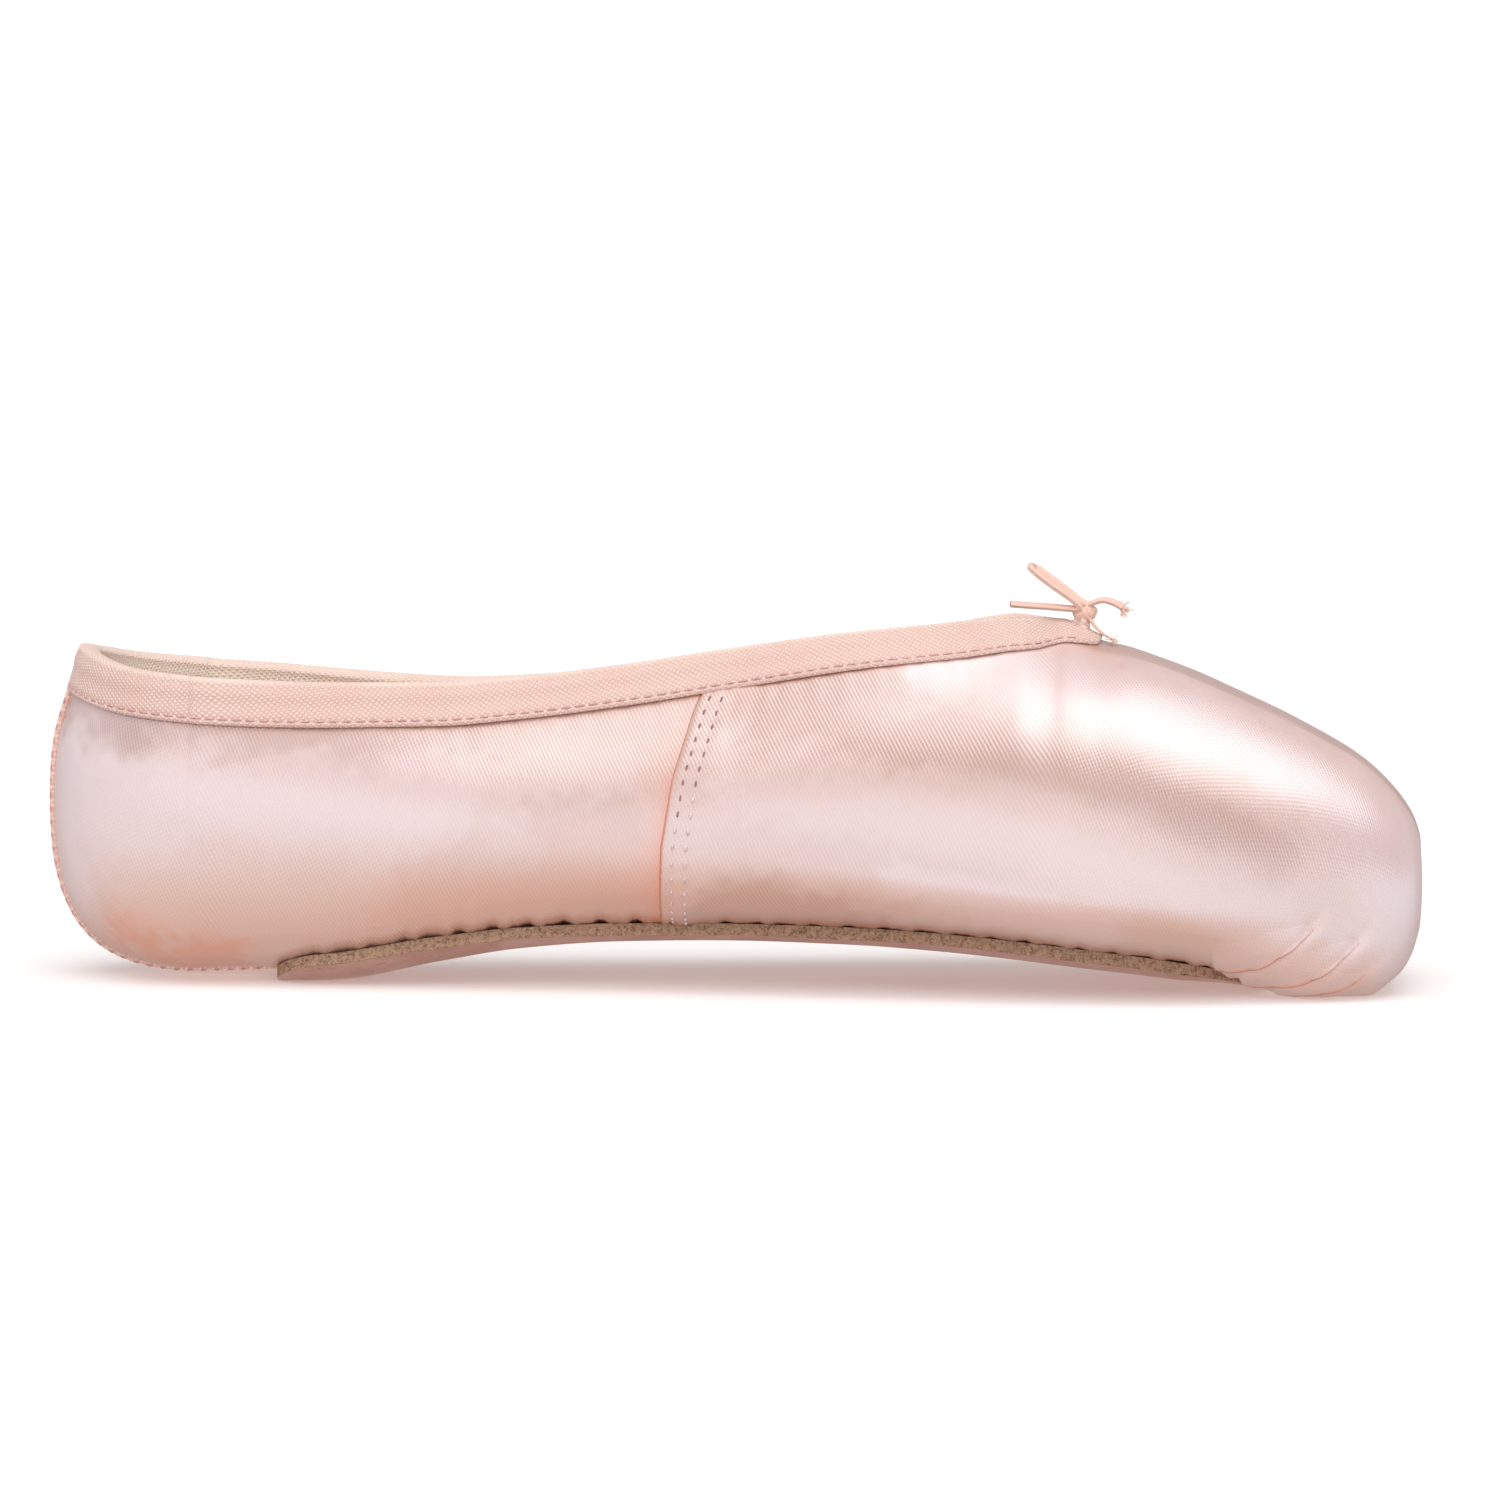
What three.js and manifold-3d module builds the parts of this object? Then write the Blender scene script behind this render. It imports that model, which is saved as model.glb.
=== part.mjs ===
// A pointe shoe, straight lasted, standing empty on its sole. Units are millimetres.
// X runs along the shoe with the toe at +X, Y across it, Z up, and z = 0 is the floor.
// Every piece is worked out from one function, the outside of the lasted upper.

import * as THREE from "three";
import { mergeVertices } from "three/addons/utils/BufferGeometryUtils.js";
import Module from "manifold-3d";

const wasm = await Module();
wasm.setup();

// ---------------------------------------------------------------- driving sizes

const HEEL_AXIS_X = -95; // the vertical axis that the sections of the heel turn about
const HEEL_RUN = 39.3; // the run of the table from that axis plane round to the back seam
const BACK = HEEL_AXIS_X - HEEL_RUN;
const THROAT = 56.5; // where the two sides of the collar meet
const THROAT_SPLIT = 0.03; // how far each side stays from the middle before that
const TOE_END = 150; // the run at the middle of the platform
const SEAT_GAP = 0.35; // between the upper and what touches it
const SOLE_THICK = 2.55;
const SOLE_TIP_THICK = 1.3;
const SOLE_HEEL = -81;
const SOLE_TIP = 93.4;
const SOLE_SKIVE_FROM = 78; // the outsole thins from here to its tip
const MARGIN = 6.5; // the lasting margin, which the outsole covers
const OPENING_HEEL = -73;
const OPENING_TOE = 84;
const INSOLE_GAP = 0.5;
const INSOLE_THICK = 1.5;
const INSOLE_TIP = 98;
const BINDING_WIDTH = 7.6;
const BINDING_THICK = 0.7;
const BINDING_GAP = 0.3;
const BINDING_TIP = 63.5; // the point of the binding on the vamp
const CORD_RADIUS = 0.95;
const KNOT_AT = [60.8, 0, 65.4];

// The lasted upper, a row for each section. "at" is the run along the shoe: it is x up to the
// toe box, then it goes round the edge of the platform. Behind the heel axis it goes round to
// the back seam, and "half" and "edge_y" are measured from the axis.
// half, wide_z: the widest place; bottom: the underside at the middle; edge_y, edge_z: the
// collar's edge, or the ridge of the vamp.
const LAST = [
  { at: -134.3, x: -95, half: 25.5, wide_z: 31, bottom: 1.6, edge_y: 20.2, edge_z: 57.6 },
  { at: -122.8, x: -95, half: 25.2, wide_z: 31, bottom: 1.6, edge_y: 19.7, edge_z: 56.4 },
  { at: -108, x: -95, half: 25.5, wide_z: 30.4, bottom: 1.6, edge_y: 20.1, edge_z: 54.6 },
  { at: -95, x: -95, half: 26, wide_z: 29.6, bottom: 1.6, edge_y: 20.6, edge_z: 53.6 },
  { at: -88, x: -88, half: 26.3, wide_z: 29.2, bottom: 1.9, edge_y: 20.2, edge_z: 53.1 },
  { at: -81, x: -81, half: 26.6, wide_z: 28.8, bottom: 2.2, edge_y: 19.7, edge_z: 52.8 },
  { at: -71, x: -71, half: 26.7, wide_z: 28.1, bottom: 2.5, edge_y: 18.2, edge_z: 52.5 },
  { at: -52, x: -52, half: 26.8, wide_z: 26.8, bottom: 6.1, edge_y: 15, edge_z: 52.4 },
  { at: -38, x: -38, half: 27, wide_z: 26.2, bottom: 8.5, edge_y: 13.2, edge_z: 53.4 },
  { at: -20, x: -20, half: 28, wide_z: 25.6, bottom: 9.95, edge_y: 12, edge_z: 55.6 },
  { at: 0, x: 0, half: 30.2, wide_z: 24.6, bottom: 10.35, edge_y: 11.4, edge_z: 58.7 },
  { at: 20, x: 20, half: 33.4, wide_z: 23.1, bottom: 9.9, edge_y: 10.8, edge_z: 61.5 },
  { at: 38, x: 38, half: 36.8, wide_z: 21.2, bottom: 8.8, edge_y: 8.9, edge_z: 63.1 },
  { at: 49, x: 49, half: 38.5, wide_z: 20, bottom: 7.7, edge_y: 5.8, edge_z: 63.6 },
  { at: 56.5, x: 56.5, half: 39.4, wide_z: 19.1, bottom: 6.8, edge_y: 0, edge_z: 63.2 },
  { at: 60, x: 60, half: 39.6, wide_z: 18.8, bottom: 6.4, edge_y: 0, edge_z: 62 },
  { at: 63.5, x: 63.5, half: 39.7, wide_z: 18.5, bottom: 6, edge_y: 0, edge_z: 60.4 },
  { at: 69, x: 69, half: 39.6, wide_z: 18.1, bottom: 5.4, edge_y: 0, edge_z: 59.1 },
  { at: 76, x: 76, half: 39, wide_z: 17.6, bottom: 4.6, edge_y: 0, edge_z: 56.6 },
  { at: 83, x: 83, half: 37.9, wide_z: 17.2, bottom: 3.7, edge_y: 0, edge_z: 53.7 },
  { at: 90, x: 90, half: 36.1, wide_z: 16.9, bottom: 2.5, edge_y: 0, edge_z: 50.6 },
  { at: 97, x: 97, half: 33.9, wide_z: 16.7, bottom: 0.1, edge_y: 0, edge_z: 47.3 },
  { at: 104, x: 104, half: 31.4, wide_z: 16.7, bottom: -0.9, edge_y: 0, edge_z: 43.6 },
  { at: 110, x: 109.8, half: 28.9, wide_z: 16.9, bottom: -0.8, edge_y: 0, edge_z: 39.9 },
  { at: 115, x: 113.9, half: 26.6, wide_z: 17.2, bottom: 1.4, edge_y: 0, edge_z: 36.2 },
  { at: 119, x: 116.8, half: 24.3, wide_z: 17.6, bottom: 4.2, edge_y: 0, edge_z: 32.7 },
  { at: 123, x: 118.6, half: 21.4, wide_z: 18, bottom: 7.7, edge_y: 0, edge_z: 29.6 },
  { at: 128, x: 119.5, half: 17, wide_z: 18.4, bottom: 11, edge_y: 0, edge_z: 26.4 },
  { at: 138, x: 119.8, half: 9, wide_z: 18.6, bottom: 15, edge_y: 0, edge_z: 22.2 },
  { at: 150, x: 119.8, half: 0, wide_z: 18.6, bottom: 18.6, edge_y: 0, edge_z: 18.6 },
];

// How the wall is curved there. lean: how far it leans inward at the edge, in degrees from
// upright; belly, crown: how square the lower and upper quarters are; wall: the thickness.
const WALL = [
  { at: -134.3, lean: 16, belly: 0.72, crown: 0.50, wall: 1.6 },
  { at: -122.8, lean: 15, belly: 0.72, crown: 0.48, wall: 1.6 },
  { at: -108, lean: 13, belly: 0.71, crown: 0.45, wall: 1.5 },
  { at: -95, lean: 13, belly: 0.70, crown: 0.43, wall: 1.4 },
  { at: -88, lean: 14, belly: 0.69, crown: 0.42, wall: 1.3 },
  { at: -81, lean: 16, belly: 0.68, crown: 0.42, wall: 1.2 },
  { at: -71, lean: 19, belly: 0.67, crown: 0.42, wall: 1.2 },
  { at: -52, lean: 23, belly: 0.65, crown: 0.42, wall: 1.2 },
  { at: -38, lean: 26, belly: 0.65, crown: 0.42, wall: 1.2 },
  { at: -20, lean: 29, belly: 0.64, crown: 0.43, wall: 1.2 },
  { at: 0, lean: 33, belly: 0.63, crown: 0.45, wall: 1.2 },
  { at: 20, lean: 40, belly: 0.61, crown: 0.48, wall: 1.3 },
  { at: 38, lean: 50, belly: 0.59, crown: 0.51, wall: 1.4 },
  { at: 49, lean: 61, belly: 0.58, crown: 0.54, wall: 1.5 },
  { at: 56.5, lean: 71, belly: 0.57, crown: 0.56, wall: 1.6 },
  { at: 60, lean: 76, belly: 0.57, crown: 0.575, wall: 1.8 },
  { at: 63.5, lean: 80, belly: 0.57, crown: 0.585, wall: 2 },
  { at: 69, lean: 86, belly: 0.57, crown: 0.60, wall: 2.3 },
  { at: 76, lean: 90, belly: 0.58, crown: 0.61, wall: 2.5 },
  { at: 83, lean: 90, belly: 0.59, crown: 0.62, wall: 2.8 },
  { at: 90, lean: 90, belly: 0.61, crown: 0.63, wall: 2.9 },
  { at: 97, lean: 90, belly: 0.65, crown: 0.65, wall: 3 },
  { at: 104, lean: 90, belly: 0.70, crown: 0.66, wall: 3.1 },
  { at: 110, lean: 90, belly: 0.72, crown: 0.66, wall: 3.2 },
  { at: 115, lean: 90, belly: 0.71, crown: 0.65, wall: 3.3 },
  { at: 119, lean: 90, belly: 0.69, crown: 0.63, wall: 3.4 },
  { at: 123, lean: 90, belly: 0.66, crown: 0.60, wall: 3.5 },
  { at: 128, lean: 90, belly: 0.60, crown: 0.58, wall: 3.5 },
  { at: 138, lean: 90, belly: 0.56, crown: 0.56, wall: 3.5 },
  { at: 150, lean: 90, belly: 0.55, crown: 0.55, wall: 3.5 },
];

// How much lower the collar sits on the far side (+Y) than on the near one.
const COLLAR_DROP = [
  { at: -134.3, drop: 0 },
  { at: -88, drop: 0 },
  { at: -55, drop: 1.2 },
  { at: -24, drop: 2.1 },
  { at: 0, drop: 2.2 },
  { at: 22, drop: 2 },
  { at: 38, drop: 1.2 },
  { at: 49, drop: 0 },
  { at: 150, drop: 0 },
];

// The outsole's outline, narrow at the waist.
const SOLE = [
  { at: -81.0, half: 0.0 },
  { at: -80.6, half: 8.0 },
  { at: -79.6, half: 11.6 },
  { at: -77.5, half: 14.2 },
  { at: -73.0, half: 15.9 },
  { at: -64.0, half: 16.6 },
  { at: -45.0, half: 16.0 },
  { at: -20.0, half: 15.0 },
  { at: 0.0, half: 15.9 },
  { at: 20.0, half: 18.9 },
  { at: 42.0, half: 22.9 },
  { at: 58.0, half: 24.6 },
  { at: 70.0, half: 23.9 },
  { at: 79.0, half: 21.3 },
  { at: 86.0, half: 17.4 },
  { at: 90.5, half: 12.2 },
  { at: 92.7, half: 7.0 },
  { at: 93.4, half: 0.0 },
];

// The insole's outline, a little inside the wall.
const INSOLE = [
  { at: -134.3, half: 17.5 },
  { at: -95.0, half: 19.0 },
  { at: -60.0, half: 18.6 },
  { at: -20.0, half: 19.0 },
  { at: 20.0, half: 23.5 },
  { at: 55.0, half: 28.5 },
  { at: 75.0, half: 27.0 },
  { at: 88.0, half: 22.0 },
  { at: 95.0, half: 14.5 },
  { at: 97.4, half: 8.0 },
  { at: 98.0, half: 0.0 },
];

const HEEL_STEPS = 8;
const UNDER_STEPS = 6;
const SOLE_STEPS = 4;
const SIDE_STEPS = 5;
const LEG_STEPS = 2;
const BAND_LEVEL = 1.8; // where the band of close columns starts on the toe box
const BODY_STEP = 8.4;
const THROAT_STATIONS = [50, 52.6, 54.6, 55.6, 56.5, 58.2, 60, 61.8, 63.5, 67];
const TOE_STATIONS = [99, 104, 107, 110, 113, 116, 118.5, 121, 123.5, 126, 129, 135, 142, 150];

// ---------------------------------------------------------------- the last

// A column of a table at a given run, by a monotone cubic through the rows.
function column(table, key, at) {
  const last = table.length - 1;
  let i = 0;
  while (i < last - 1 && at > table[i + 1].at) {
    i += 1;
  }
  const slope = (j) => (table[j + 1][key] - table[j][key]) / (table[j + 1].at - table[j].at);
  const tangent = (j) => {
    if (j === 0) {
      return slope(0);
    }
    if (j === last) {
      return slope(last - 1);
    }
    const a = slope(j - 1);
    const b = slope(j);
    return a * b <= 0 ? 0 : (2 * a * b) / (a + b);
  };
  const span = table[i + 1].at - table[i].at;
  const t = THREE.MathUtils.clamp((at - table[i].at) / span, 0, 1);
  const t2 = t * t;
  const t3 = t2 * t;
  return (
    table[i][key] * (2 * t3 - 3 * t2 + 1) +
    tangent(i) * span * (t3 - 2 * t2 + t) +
    table[i + 1][key] * (3 * t2 - 2 * t3) +
    tangent(i + 1) * span * (t3 - t2)
  );
}

function cubic(a, b, c, d, t) {
  const u = 1 - t;
  return u * u * u * a + 3 * u * u * t * b + 3 * u * t * t * c + t * t * t * d;
}

// A point of the section's curve: u from 0 at the bottom's middle to 1 at the widest place and
// 2 at the collar or ridge; past 2 it goes straight on. Gives the distance from the middle, and z.
function sectionPoint(at, side, u) {
  const half = column(LAST, "half", at);
  const wideZ = column(LAST, "wide_z", at);
  const bottom = column(LAST, "bottom", at);
  const edgeY = column(LAST, "edge_y", at);
  const drop = side > 0 ? column(COLLAR_DROP, "drop", at) : 0;
  const edgeZ = column(LAST, "edge_z", at) - drop;
  if (u <= 1) {
    const belly = column(WALL, "belly", at);
    return [
      cubic(0, belly * half, half, half, u),
      cubic(bottom, bottom, wideZ - belly * (wideZ - bottom), wideZ, u),
    ];
  }
  const crown = column(WALL, "crown", at);
  const lean = THREE.MathUtils.degToRad(column(WALL, "lean", at));
  const reach = crown * ((half - edgeY) * Math.sin(lean) + (edgeZ - wideZ) * Math.cos(lean));
  const t = Math.min(u - 1, 1);
  const beyond = Math.max(u - 2, 0);
  return [
    cubic(half, half, edgeY + reach * Math.sin(lean), edgeY, t) - beyond * Math.sin(lean),
    cubic(wideZ, wideZ + crown * (edgeZ - wideZ), edgeZ - reach * Math.cos(lean), edgeZ, t) +
      beyond * Math.cos(lean),
  ];
}

// The outside of the upper. side is -1 (near) or 1 (far).
function surface(at, side, u) {
  const past = at < BACK;
  const run = past ? 2 * BACK - at : at;
  const [away, z] = sectionPoint(run, side, u);
  if (run >= HEEL_AXIS_X) {
    return new THREE.Vector3(column(LAST, "x", run), side * away, z);
  }
  const turn = ((HEEL_AXIS_X - run) / HEEL_RUN) * (Math.PI / 2);
  const across = past ? -Math.cos(turn) : Math.cos(turn);
  return new THREE.Vector3(HEEL_AXIS_X - away * Math.sin(turn), side * across * away, z);
}

// The outward normal of that surface.
function normal(at, side, u) {
  const step = 0.02;
  const ahead = surface(Math.min(at + step, TOE_END), side, u);
  const along = ahead.sub(surface(at - step, side, u));
  const level = Math.min(u, 2);
  const low = surface(at, side, Math.max(level - step, 0));
  const up = surface(at, side, Math.min(level + step, 2)).sub(low);
  const out = side < 0 ? along.cross(up) : up.cross(along);
  if (at > TOE_END - 0.1) {
    return new THREE.Vector3(1, 0, 0);
  }
  if (at <= HEEL_AXIS_X && u < 0.01) {
    return new THREE.Vector3(0, 0, -1);
  }
  out.normalize();
  const onRidge = level === 2 && Math.abs(column(LAST, "edge_y", at)) < 1e-6;
  if (level < 0.01 || onRidge) {
    out.y = 0;
    out.normalize();
  }
  return out;
}

// The u at which the lower curve is a given distance from the middle.
function uAtDistance(at, distance) {
  let low = 0;
  let high = 1;
  for (let i = 0; i < 40; i += 1) {
    const middle = (low + high) / 2;
    if (sectionPoint(at, -1, middle)[0] < distance) {
      low = middle;
    } else {
      high = middle;
    }
  }
  return (low + high) / 2;
}

// The u at which the upper curve is a given length below the collar.
function uBelowCollar(at, side, length) {
  const steps = 200;
  let u = 2;
  let gone = 0;
  let [y, z] = sectionPoint(at, side, u);
  while (gone < length && u > 1.02) {
    u -= 1 / steps;
    const [nextY, nextZ] = sectionPoint(at, side, u);
    gone += Math.hypot(nextY - y, nextZ - z);
    y = nextY;
    z = nextZ;
  }
  return u;
}

// ---------------------------------------------------------------- solids on the last

function stations(from, to, extra) {
  const all = [from, to, ...extra];
  for (let i = 0; i <= HEEL_STEPS; i += 1) {
    all.push(BACK + (HEEL_RUN * i) / HEEL_STEPS);
  }
  for (let at = HEEL_AXIS_X + BODY_STEP; at < TOE_STATIONS[0] - BODY_STEP / 2; at += BODY_STEP) {
    all.push(at);
  }
  const inside = [...all, ...TOE_STATIONS].filter((at) => at >= from && at <= to);
  inside.sort((a, b) => a - b);
  return inside.filter((at, i) => i === 0 || at - inside[i - 1] > 0.15 || extra.includes(at));
}

// A closed solid between two offsets of the upper's outside, on both sides of the middle.
// rows are runs; columns(at, side) gives the u values of a row; outer(at) and inner(at) are the
// two offsets, positive outward. core, if given, is a space left inside it, open at the low edge.
function layer({ rows, columns, outer, inner, onFloor, core }) {
  const points = [];
  const faces = [];
  const line = (at, side, us, offset, floor) =>
    us.map((u) => {
      const point = surface(at, side, u).addScaledVector(normal(at, side, u), offset);
      const split = u > 1 && at > HEEL_AXIS_X && at < THROAT ? THROAT_SPLIT : 0;
      point.y = side * Math.max(side * point.y, split);
      point.z = floor ? Math.max(point.z, 0) : point.z;
      points.push(point.x, point.y, point.z);
      return points.length / 3 - 1;
    });
  const skins = (side, spec, floor) =>
    rows.map((at) => ({
      out: line(at, side, spec.columns(at, side), spec.outer(at), floor),
      into: line(at, side, spec.columns(at, side), spec.inner(at), false),
    }));
  const quad = (side, a, b, c, d) => {
    const [p, q, r, t] = side < 0 ? [a, b, c, d] : [a, d, c, b];
    faces.push(p, q, r, p, r, t);
  };
  const onMiddle = (index) => Math.abs(points[3 * index + 1]) < 1e-6;
  const cover = (side, lines) => {
    for (let i = 0; i + 1 < lines.length; i += 1) {
      const [a, b] = [lines[i], lines[i + 1]];
      const end = a.out.length - 1;
      for (let j = 0; j < end; j += 1) {
        quad(side, a.out[j], b.out[j], b.out[j + 1], a.out[j + 1]);
        quad(side, a.into[j], a.into[j + 1], b.into[j + 1], b.into[j]);
      }
      if (!onMiddle(a.out[end]) || !onMiddle(b.out[end])) {
        quad(side, a.out[end], b.out[end], b.into[end], a.into[end]);
      }
    }
  };
  for (const side of [-1, 1]) {
    const shell = skins(side, { columns, outer, inner }, onFloor);
    const hollow = core ? skins(side, core, false) : null;
    cover(side, shell);
    if (hollow) {
      cover(side, hollow.map(({ out, into }) => ({ out: into, into: out })));
    }
    for (let i = 0; i + 1 < rows.length; i += 1) {
      const [a, b] = [shell[i], shell[i + 1]];
      if (hollow) {
        quad(side, a.out[0], hollow[i].out[0], hollow[i + 1].out[0], b.out[0]);
        quad(side, hollow[i].into[0], a.into[0], b.into[0], hollow[i + 1].into[0]);
      } else if (!onMiddle(a.out[0]) || !onMiddle(b.out[0])) {
        quad(side, a.out[0], a.into[0], b.into[0], b.out[0]);
      }
    }
  }
  return welded(points, faces);
}

// The points and faces as a geometry, with equal points merged and faces of no area left out.
function welded(points, faces) {
  const geometry = new THREE.BufferGeometry();
  geometry.setAttribute("position", new THREE.Float32BufferAttribute(points, 3));
  geometry.setIndex(faces);
  const merged = mergeVertices(geometry, 2e-3);
  const index = merged.index.array;
  const kept = [];
  for (let i = 0; i < index.length; i += 3) {
    const [a, b, c] = index.slice(i, i + 3);
    if (a !== b && b !== c && c !== a) {
      kept.push(a, b, c);
    }
  }
  merged.setIndex(kept);
  return merged;
}

function toManifold(geometry) {
  const plain = new THREE.BufferGeometry();
  plain.setAttribute("position", geometry.attributes.position);
  plain.setIndex(geometry.index);
  const merged = mergeVertices(plain, 1e-4);
  return new wasm.Manifold(
    new wasm.Mesh({
      numProp: 3,
      vertProperties: new Float32Array(merged.attributes.position.array),
      triVerts: new Uint32Array(merged.index.array),
    }),
  );
}

function toGeometry(manifold) {
  const mesh = manifold.getMesh();
  const geometry = new THREE.BufferGeometry();
  geometry.setAttribute("position", new THREE.BufferAttribute(mesh.vertProperties, 3));
  geometry.setIndex(new THREE.BufferAttribute(mesh.triVerts, 1));
  return geometry;
}

function spread(from, to, steps) {
  return Array.from({ length: steps + 1 }, (_, i) => from + ((to - from) * i) / steps);
}

// ---------------------------------------------------------------- the pieces

const wall = (at) => column(WALL, "wall", at);
const soleHalf = (at) => (at <= SOLE_HEEL || at >= SOLE_TIP ? 0 : column(SOLE, "half", at));

// The opening under the upper follows the outsole's outline inside the lasting margin.
function openingHalf(at) {
  if (at <= OPENING_HEEL || at >= OPENING_TOE) {
    return 0;
  }
  const fromEnd = Math.min(at - OPENING_HEEL, OPENING_TOE - at);
  const rounded = Math.sqrt(1 - (1 - Math.min(fromEnd / 10, 1)) ** 2);
  return (column(SOLE, "half", at) - MARGIN) * rounded;
}

function upperGeometry() {
  const openingEnds = [OPENING_HEEL, OPENING_HEEL + 2, OPENING_TOE - 2, OPENING_TOE];
  return layer({
    rows: stations(BACK, TOE_END, [...openingEnds, ...THROAT_STATIONS]),
    columns: (at, side) => {
      const low = openingHalf(at) > 0 ? uAtDistance(at, openingHalf(at)) : 0;
      const band = at < TOE_STATIONS[0] ? uBelowCollar(at, side, BINDING_WIDTH) : BAND_LEVEL;
      const under = spread(low, 1, UNDER_STEPS);
      return [...under, ...spread(1, band, SIDE_STEPS).slice(1), ...spread(band, 2, LEG_STEPS).slice(1)];
    },
    outer: () => 0,
    inner: (at) => -wall(at),
    onFloor: true,
  });
}

function outsoleGeometry() {
  const thick = (at) => {
    const skived = THREE.MathUtils.clamp((at - SOLE_SKIVE_FROM) / (SOLE_TIP - SOLE_SKIVE_FROM), 0, 1);
    return THREE.MathUtils.lerp(SOLE_THICK, SOLE_TIP_THICK, skived);
  };
  return layer({
    rows: stations(SOLE_HEEL, SOLE_TIP, [-80.6, -79.6, -77.5, 83, 86.5, 89.5, 91.5, 92.7]),
    columns: (at) => spread(0, soleHalf(at) > 0 ? uAtDistance(at, soleHalf(at)) : 0, SOLE_STEPS),
    outer: (at) => SEAT_GAP + thick(at),
    inner: () => SEAT_GAP,
    onFloor: true,
  });
}

function insoleGeometry() {
  return layer({
    rows: stations(BACK, INSOLE_TIP, [93, 95.5, 97.2]),
    columns: (at) => spread(0, at < INSOLE_TIP ? uAtDistance(at, column(INSOLE, "half", at)) : 0, SOLE_STEPS),
    outer: (at) => -wall(at) - INSOLE_GAP,
    inner: (at) => -wall(at) - INSOLE_GAP - INSOLE_THICK,
    onFloor: false,
  });
}

// The u values of the band below the collar, which comes to a point on the vamp, raised past
// the edge by a given length.
function bandColumns(at, side, raised) {
  const left = THREE.MathUtils.clamp((BINDING_TIP - at) / (BINDING_TIP - THROAT + 4), 0, 1);
  const low = at >= BINDING_TIP ? 2 : uBelowCollar(at, side, BINDING_WIDTH * Math.sqrt(left));
  return [...spread(low, 2, LEG_STEPS), at < THROAT ? 2 + raised : 2];
}

function bindingGeometry() {
  const grown = BINDING_GAP + BINDING_THICK;
  return layer({
    rows: stations(BACK, BINDING_TIP, THROAT_STATIONS),
    columns: (at, side) => bandColumns(at, side, grown),
    outer: () => grown,
    inner: (at) => -wall(at) - grown,
    onFloor: false,
    core: {
      columns: (at, side) => bandColumns(at, side, BINDING_GAP),
      outer: () => BINDING_GAP,
      inner: (at) => -wall(at) - BINDING_GAP,
    },
  });
}

// A round cord through points, closed with domed ends.
function cordGeometry(points, radius) {
  const curve = new THREE.CatmullRomCurve3(points.map((p) => new THREE.Vector3(...p)), false, "centripetal");
  const rings = 11;
  const sides = 7;
  const frames = curve.computeFrenetFrames(rings, false);
  const vertices = [];
  const faces = [];
  const length = curve.getLength();
  for (let i = 0; i <= rings; i += 1) {
    const centre = curve.getPointAt(i / rings);
    const fromEnd = (Math.min(i, rings - i) * length) / rings;
    const taper = fromEnd < radius ? 0.6 : 1;
    for (let j = 0; j < sides; j += 1) {
      const angle = (2 * Math.PI * j) / sides;
      const point = centre
        .clone()
        .addScaledVector(frames.normals[i], radius * taper * Math.cos(angle))
        .addScaledVector(frames.binormals[i], radius * taper * Math.sin(angle));
      vertices.push(point.x, point.y, point.z);
    }
  }
  const start = curve.getPointAt(0).addScaledVector(frames.tangents[0], -radius * 0.5);
  const finish = curve.getPointAt(1).addScaledVector(frames.tangents[rings], radius * 0.5);
  vertices.push(start.x, start.y, start.z, finish.x, finish.y, finish.z);
  const startIndex = (rings + 1) * sides;
  for (let j = 0; j < sides; j += 1) {
    const next = (j + 1) % sides;
    for (let i = 0; i < rings; i += 1) {
      const a = i * sides + j;
      const b = i * sides + next;
      faces.push(a, b, b + sides, a, b + sides, a + sides);
    }
    faces.push(startIndex, next, j);
    faces.push(startIndex + 1, rings * sides + j, rings * sides + next);
  }
  return welded(vertices, faces);
}

// The knot: two crossing lumps of drawn cord in one solid.
function knotGeometry() {
  const lump = (stretch, turnY, turnX) => {
    const ball = new THREE.SphereGeometry(1, 12, 8);
    ball.scale(...stretch);
    ball.rotateX(turnX);
    ball.rotateY(turnY);
    ball.translate(...KNOT_AT);
    return toManifold(ball);
  };
  const across = lump([2.1, 1.25, 1.35], -0.25, 0.3);
  const wrap = lump([1.15, 1.9, 1.6], 0.35, -0.4);
  return toGeometry(across.add(wrap));
}

// ---------------------------------------------------------------- the assembly

const shoe = new THREE.Group();
shoe.name = "pointe_shoe";

function addNode(name, geometry, color, roughness) {
  const plain = new THREE.BufferGeometry();
  plain.setAttribute("position", geometry.attributes.position);
  plain.setIndex(geometry.index);
  plain.computeVertexNormals();
  const material = new THREE.MeshStandardMaterial({ color, roughness, metalness: 0 });
  const mesh = new THREE.Mesh(plain, material);
  mesh.name = name;
  shoe.add(mesh);
}

// The cords that leave the knot: points from the knot outward.
const CORDS = {
  drawstring_loop: [
    [58.9, -0.6, 67.3],
    [56.4, -1, 69],
    [53.2, -1.3, 71.1],
    [51.2, -1.4, 73.2],
  ],
  drawstring_end_front: [
    [62.2, -0.4, 67.4],
    [64, -0.8, 67.8],
    [65.9, -1.2, 67.2],
    [67.8, -1.5, 66.2],
  ],
  drawstring_end_back: [
    [57.4, -1, 66.2],
    [54.2, -1.8, 66.4],
    [50.8, -2.5, 66.7],
    [47.6, -3, 67],
  ],
};

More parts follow.
